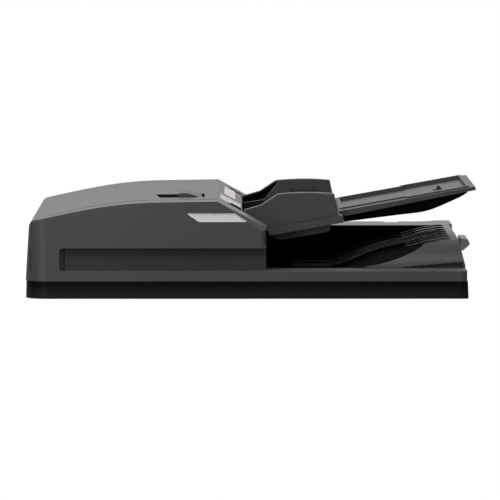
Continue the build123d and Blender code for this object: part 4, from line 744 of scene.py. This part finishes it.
def belt_path(first, first_r, second, second_r):
    """A function that gives the point and outward normal at a distance round a belt, and its length."""
    axis = second - first
    base = math.atan2(axis.y, axis.x)
    spread = math.acos((first_r - second_r) / axis.length)
    straight = math.sqrt(axis.length ** 2 - (first_r - second_r) ** 2)
    arcs = (first_r * (2 * math.pi - 2 * spread), second_r * 2 * spread)
    total = arcs[0] + arcs[1] + 2 * straight

    def at(distance):
        if distance < arcs[0]:
            turn = base + spread + distance / first_r
            normal = Vector((math.cos(turn), math.sin(turn)))
            return first + normal * first_r, normal
        distance -= arcs[0]
        low_normal = Vector((math.cos(base - spread), math.sin(base - spread)))
        if distance < straight:
            start, end = first + low_normal * first_r, second + low_normal * second_r
            return start.lerp(end, distance / straight), low_normal
        distance -= straight
        if distance < arcs[1]:
            turn = base - spread + distance / second_r
            normal = Vector((math.cos(turn), math.sin(turn)))
            return second + normal * second_r, normal
        distance -= arcs[1]
        high_normal = Vector((math.cos(base + spread), math.sin(base + spread)))
        start, end = second + high_normal * second_r, first + high_normal * first_r
        return start.lerp(end, distance / straight), high_normal

    return at, total


def toothed_belt(name, first, first_teeth, second, second_teeth, y_low, y_high, node):
    """Timing belt with moulded teeth inside and a smooth back with slightly rounded edges."""
    start, end = CENTRE[first], CENTRE[second]
    radius = BELT_PITCH / (2 * math.pi)
    at, total = belt_path(Vector((start.x, start.z)), first_teeth * radius + BELT_CLEAR,
                          Vector((end.x, end.z)), second_teeth * radius + BELT_CLEAR)
    teeth = round(total / BELT_PITCH)
    rings = []
    for k in range(teeth):
        for share, deep in TOOTH:
            point, normal = at((k + share) / teeth * total)
            inner = point + normal * deep
            shoulder = point + normal * (BELT_T - BELT_EDGE)
            back = point + normal * BELT_T
            rings.append([(inner.x, y_low, inner.y), (shoulder.x, y_low, shoulder.y),
                          (back.x, y_low + BELT_EDGE, back.y), (back.x, y_high - BELT_EDGE, back.y),
                          (shoulder.x, y_high, shoulder.y), (inner.x, y_high, inner.y)])
    return piece(name, *skin(rings, loop=True), node)


def all_belts():
    """Three belts between the wheels behind the rear frame, and the pickup arm's own belt."""
    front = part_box("drive_belts")[0].y
    for name, first, first_teeth, second, second_teeth, start, end in DRIVE_BELTS:
        edges = front + start * MM, front + end * MM
        made = toothed_belt(name, first, first_teeth, second, second_teeth, *edges, "drive_belts")
    # the three belts stand for one node, which is hidden once
    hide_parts("drive_belts")
    low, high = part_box("pickup_belt")
    made = toothed_belt(*PICKUP_BELT, low.y, high.y, "pickup_belt")
    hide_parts("pickup_belt")


# ---------------------------------------------------------------- interface cable
SHEATH_R = 3.3 * MM
RELIEF_R = 8.0 * MM
PLUG = Vector((18, 10, 16)) * MM
PLUG_ROUND = 0.8 * MM
PLUG_LIFT = 4 * MM           # height of the metal nose below the plug's grip
NOSE_IN = 1.6 * MM           # how far the nose stands in from the grip
NOSE_ROUND = 0.3 * MM
GRIP_RIBS = [7, 9, 11, 13]   # heights of the grip's ribs above the plug's end, in mm
GRIP_LOW = Vector((-6.0, -0.4, 0.0)) * MM
GRIP_HIGH = Vector((6.0, 1.0, 0.9)) * MM
GRIP_ROUND = 0.2 * MM
SHEATH_STEPS = 14            # points between two stations of the sheath's curve
# distance behind the cover and radius: a flange on each of the cover's faces, three collars and the tail
FLANGES = [(-5.0, 7.9), (-3.2, 7.9), (-3.1, 5.9), (0.0, 5.9), (0.05, 7.4), (0.5, 7.9), (2.6, 7.9), (3.0, 7.4),
           (3.1, 4.6)]
COLLARS = [(4.0, 5.36, 5.26), (7.0, 5.18, 5.08), (10.0, 5.0, 4.9)]
TAIL = [(13.5, 4.2), (15.0, 3.5)]


def tube(path, radii, sides=20):
    """Points and faces of a round tube through points, each with its own radius."""
    rings = []
    across = Vector((1.0, 0.0, 0.0))
    for k, here in enumerate(path):
        heading = (path[min(k + 1, len(path) - 1)] - path[max(k - 1, 0)]).normalized()
        across = (across - heading * across.dot(heading)).normalized()
        other = heading.cross(across)
        ring = []
        for i in range(sides):
            turn = 2 * math.pi * i / sides
            ring.append(here + (across * math.cos(turn) + other * math.sin(turn)) * radii[k])
        rings.append(ring)
    return skin(rings)


def rounded_box(low, high, edge):
    """Points and faces of a box with rounded upright edges and chamfered level ones."""
    loop = rounded(plan(low, high), [2 * edge] * 4, 4)
    rings = []
    for height, inwards in ((low.z, edge), (low.z + edge, 0), (high.z - edge, 0), (high.z, edge)):
        rings.append([(point.x, point.y, height) for point in inset(loop, inwards)])
    return skin(rings)


def smooth_path(stations):
    """A curve through stations; the first and the last only set its direction, and are joined on straight."""
    path = [stations[0]]
    for k in range(1, len(stations) - 2):
        a, b, c, d = stations[k - 1:k + 3]
        for i in range(SHEATH_STEPS):
            s = i / SHEATH_STEPS
            path.append(0.5 * (2 * b + (c - a) * s + (2 * a - 5 * b + 4 * c - d) * s * s
                               + (3 * b - a - 3 * c + d) * s ** 3))
    return path + stations[-2:]


def strain_relief():
    """Distance behind the cover and radius of each ring of the strain relief, in mm."""
    profile = list(FLANGES)
    for start, first, last in COLLARS:
        profile += [(start, 4.6), (start + 0.1, first), (start + 1.9, last), (start + 2.0, 4.4)]
    return profile + TAIL


def plug(low, high):
    """Plug in the space from low to high: a ribbed grip above a metal nose."""
    foot = low.z - PLUG_LIFT
    nose_low = low + Vector((NOSE_IN, NOSE_IN, -PLUG_LIFT))
    nose_high = Vector((high.x - NOSE_IN, high.y - NOSE_IN, low.z + 0.2 * MM))
    parts = [rounded_box(low, high, PLUG_ROUND), rounded_box(nose_low, nose_high, NOSE_ROUND)]
    for height in GRIP_RIBS:
        spot = Vector(((low.x + high.x) / 2, low.y, foot + height * MM))
        parts.append(rounded_box(spot + GRIP_LOW, spot + GRIP_HIGH, GRIP_ROUND))
    return parts


def interface_cable():
    """Cable from the rear cover: a ribbed strain relief, a hanging sheath and a moulded plug."""
    low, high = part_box("interface_cable")
    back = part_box("rear_cover")[1].y
    x = (low.x + high.x) / 2
    z = high.z - RELIEF_R
    plug_top = low.z + PLUG.z
    plug_y = high.y - PLUG.y / 2
    path = smooth_path([Vector((x, low.y, z)), Vector((x, back, z)), Vector((x, back + 7 * MM, z)),
                        Vector((x, plug_y - 5 * MM, z - 8 * MM)), Vector((x, plug_y, z - 22 * MM)),
                        Vector((x, plug_y, plug_top - 1 * MM))])
    parts = [tube(path, [SHEATH_R] * len(path))]
    profile = strain_relief()
    path = [Vector((x, back + behind * MM, z)) for behind, _ in profile]
    parts.append(tube(path, [radius * MM for _, radius in profile], 28))
    parts += plug(Vector((x - PLUG.x / 2, high.y - PLUG.y, low.z + PLUG_LIFT)),
                  Vector((x + PLUG.x / 2, high.y, plug_top)))
    made = piece("cable_and_plug", *joined(parts), "interface_cable")
    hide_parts("interface_cable")


foam_pad()
window_lens()
guide_rib("rear_guide", -1)
guide_rib("front_guide", 1)
fill_mark()
rib_caps()
seam_shadow_strip()
slot_shadow_lips()
all_belts()
interface_cable()

# ---------------------------------------------------------------- studio


def area_light(name, place, aim, size, power):
    """Rectangular soft light; size is (width, height)."""
    data = bpy.data.lights.new(name, "AREA")
    data.shape = "RECTANGLE"
    data.size, data.size_y = size
    data.energy = power
    lamp = bpy.data.objects.new(name, data)
    lamp.location = place
    lamp.rotation_euler = (Vector(aim) - Vector(place)).to_track_quat("-Z", "Y").to_euler()
    bpy.context.scene.collection.objects.link(lamp)


def studio_world(ambient, backdrop, top):
    """White to the camera; its light is soft, with a bright backdrop low behind the object."""
    world = bpy.data.worlds.new("studio")
    world.use_nodes = True
    bpy.context.scene.world = world
    tree = world.node_tree
    tree.nodes.clear()

    def node(kind):
        return tree.nodes.new(kind)

    def ramp(source, start, end, low, high):
        made = node("ShaderNodeMapRange")
        for socket, limit in zip(list(made.inputs)[1:5], (start, end, low, high)):
            socket.default_value = limit
        tree.links.new(source, made.inputs["Value"])
        return made.outputs[0]

    def white():
        made = node("ShaderNodeBackground")
        made.inputs["Color"].default_value = (1.0, 1.0, 1.0, 1.0)
        return made

    axes = node("ShaderNodeSeparateXYZ")
    tree.links.new(node("ShaderNodeTexCoord").outputs["Generated"], axes.inputs[0])
    total = node("ShaderNodeMath")
    total.operation = "ADD"
    tree.links.new(ramp(axes.outputs["Y"], 0.3, 0.9, ambient, backdrop), total.inputs[0])
    tree.links.new(ramp(axes.outputs["Z"], 0.0, 1.0, 0.0, top), total.inputs[1])
    soft = white()
    tree.links.new(total.outputs[0], soft.inputs["Strength"])
    choice = node("ShaderNodeMixShader")
    tree.links.new(node("ShaderNodeLightPath").outputs["Is Camera Ray"], choice.inputs[0])
    tree.links.new(soft.outputs[0], choice.inputs[1])
    tree.links.new(white().outputs[0], choice.inputs[2])
    tree.links.new(choice.outputs[0], node("ShaderNodeOutputWorld").inputs[0])


FLOOR_HALF = 60.0
FLOOR_LEVEL = -0.5 * MM
FLOOR_HIDDEN = 6 * MM        # the floor is open below the object, from this far inside its edge


def studio_floor():
    """Plain pale floor: white to the camera, a dull grey card to all other light, and clear from below."""
    low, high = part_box("base_frame")
    inwards = Vector((FLOOR_HIDDEN, FLOOR_HIDDEN, 0.0))
    outer = plan(Vector((-FLOOR_HALF, -FLOOR_HALF)), Vector((FLOOR_HALF, FLOOR_HALF)))
    inner = plan(low + inwards, high - inwards)
    mesh = bpy.data.meshes.new("floor")
    mesh.from_pydata([(point.x, point.y, FLOOR_LEVEL) for point in outer + inner], [],
                     [(k, (k + 1) % 4, 4 + (k + 1) % 4, 4 + k) for k in range(4)])
    floor = bpy.data.objects.new("floor", mesh)
    bpy.context.scene.collection.objects.link(floor)
    s = Shader("pale_floor")
    cloud = s.noise(3.0, 3.0)
    s.finish(s.mix(cloud, (0.2, 0.2, 0.2), (0.24, 0.24, 0.24)), 0.8, None, Specular_IOR_Level=0.2)
    seen = s.tree.nodes.new("ShaderNodeLightPath").outputs["Is Camera Ray"]
    glow = s.node("ShaderNodeEmission", Color=(1.0, 1.0, 1.0, 1.0), Strength=1.0)
    choice = s.tree.nodes.new("ShaderNodeMixShader")
    s.put(choice.inputs[0], seen)
    s.put(choice.inputs[1], s.bsdf.outputs[0])
    s.put(choice.inputs[2], glow.outputs[0])
    below = s.tree.nodes.new("ShaderNodeNewGeometry").outputs["Backfacing"]
    one_sided = s.tree.nodes.new("ShaderNodeMixShader")
    s.put(one_sided.inputs[0], below)
    s.put(one_sided.inputs[1], choice.outputs[0])
    s.put(one_sided.inputs[2], s.tree.nodes.new("ShaderNodeBsdfTransparent").outputs[0])
    s.put(s.tree.nodes["Material Output"].inputs["Surface"], one_sided.outputs[0])
    mesh.materials.append(s.material)


def camera(place, pitch, yaw, lens):
    data = bpy.data.cameras.new("camera")
    data.lens = lens
    data.sensor_width = 36.0
    data.clip_end = 100.0
    view = bpy.data.objects.new("camera", data)
    view.location = place
    view.rotation_euler = (math.radians(90 + pitch), 0.0, math.radians(yaw))
    bpy.context.scene.collection.objects.link(view)
    bpy.context.scene.camera = view


studio_world(ambient=0.12, backdrop=1.0, top=0.25)
studio_floor()
area_light("overhead", (0.0, 0.8, 1.8), (0.0, 0.35, 0.1), (2.4, 1.2), 14.0)
area_light("front_fill", (-0.8, -2.0, 2.3), (0.0, -0.15, 0.05), (2.0, 1.2), 78.0)
area_light("corner_strip", (-1.2, -2.6, 0.5), (-0.28, -0.24, 0.06), (0.12, 1.0), 11.0)
camera(place=(-0.0206, -7.055, 0.5674), pitch=-4.2022, yaw=-0.2072, lens=363.4)
bpy.context.scene.view_settings.view_transform = "Standard"
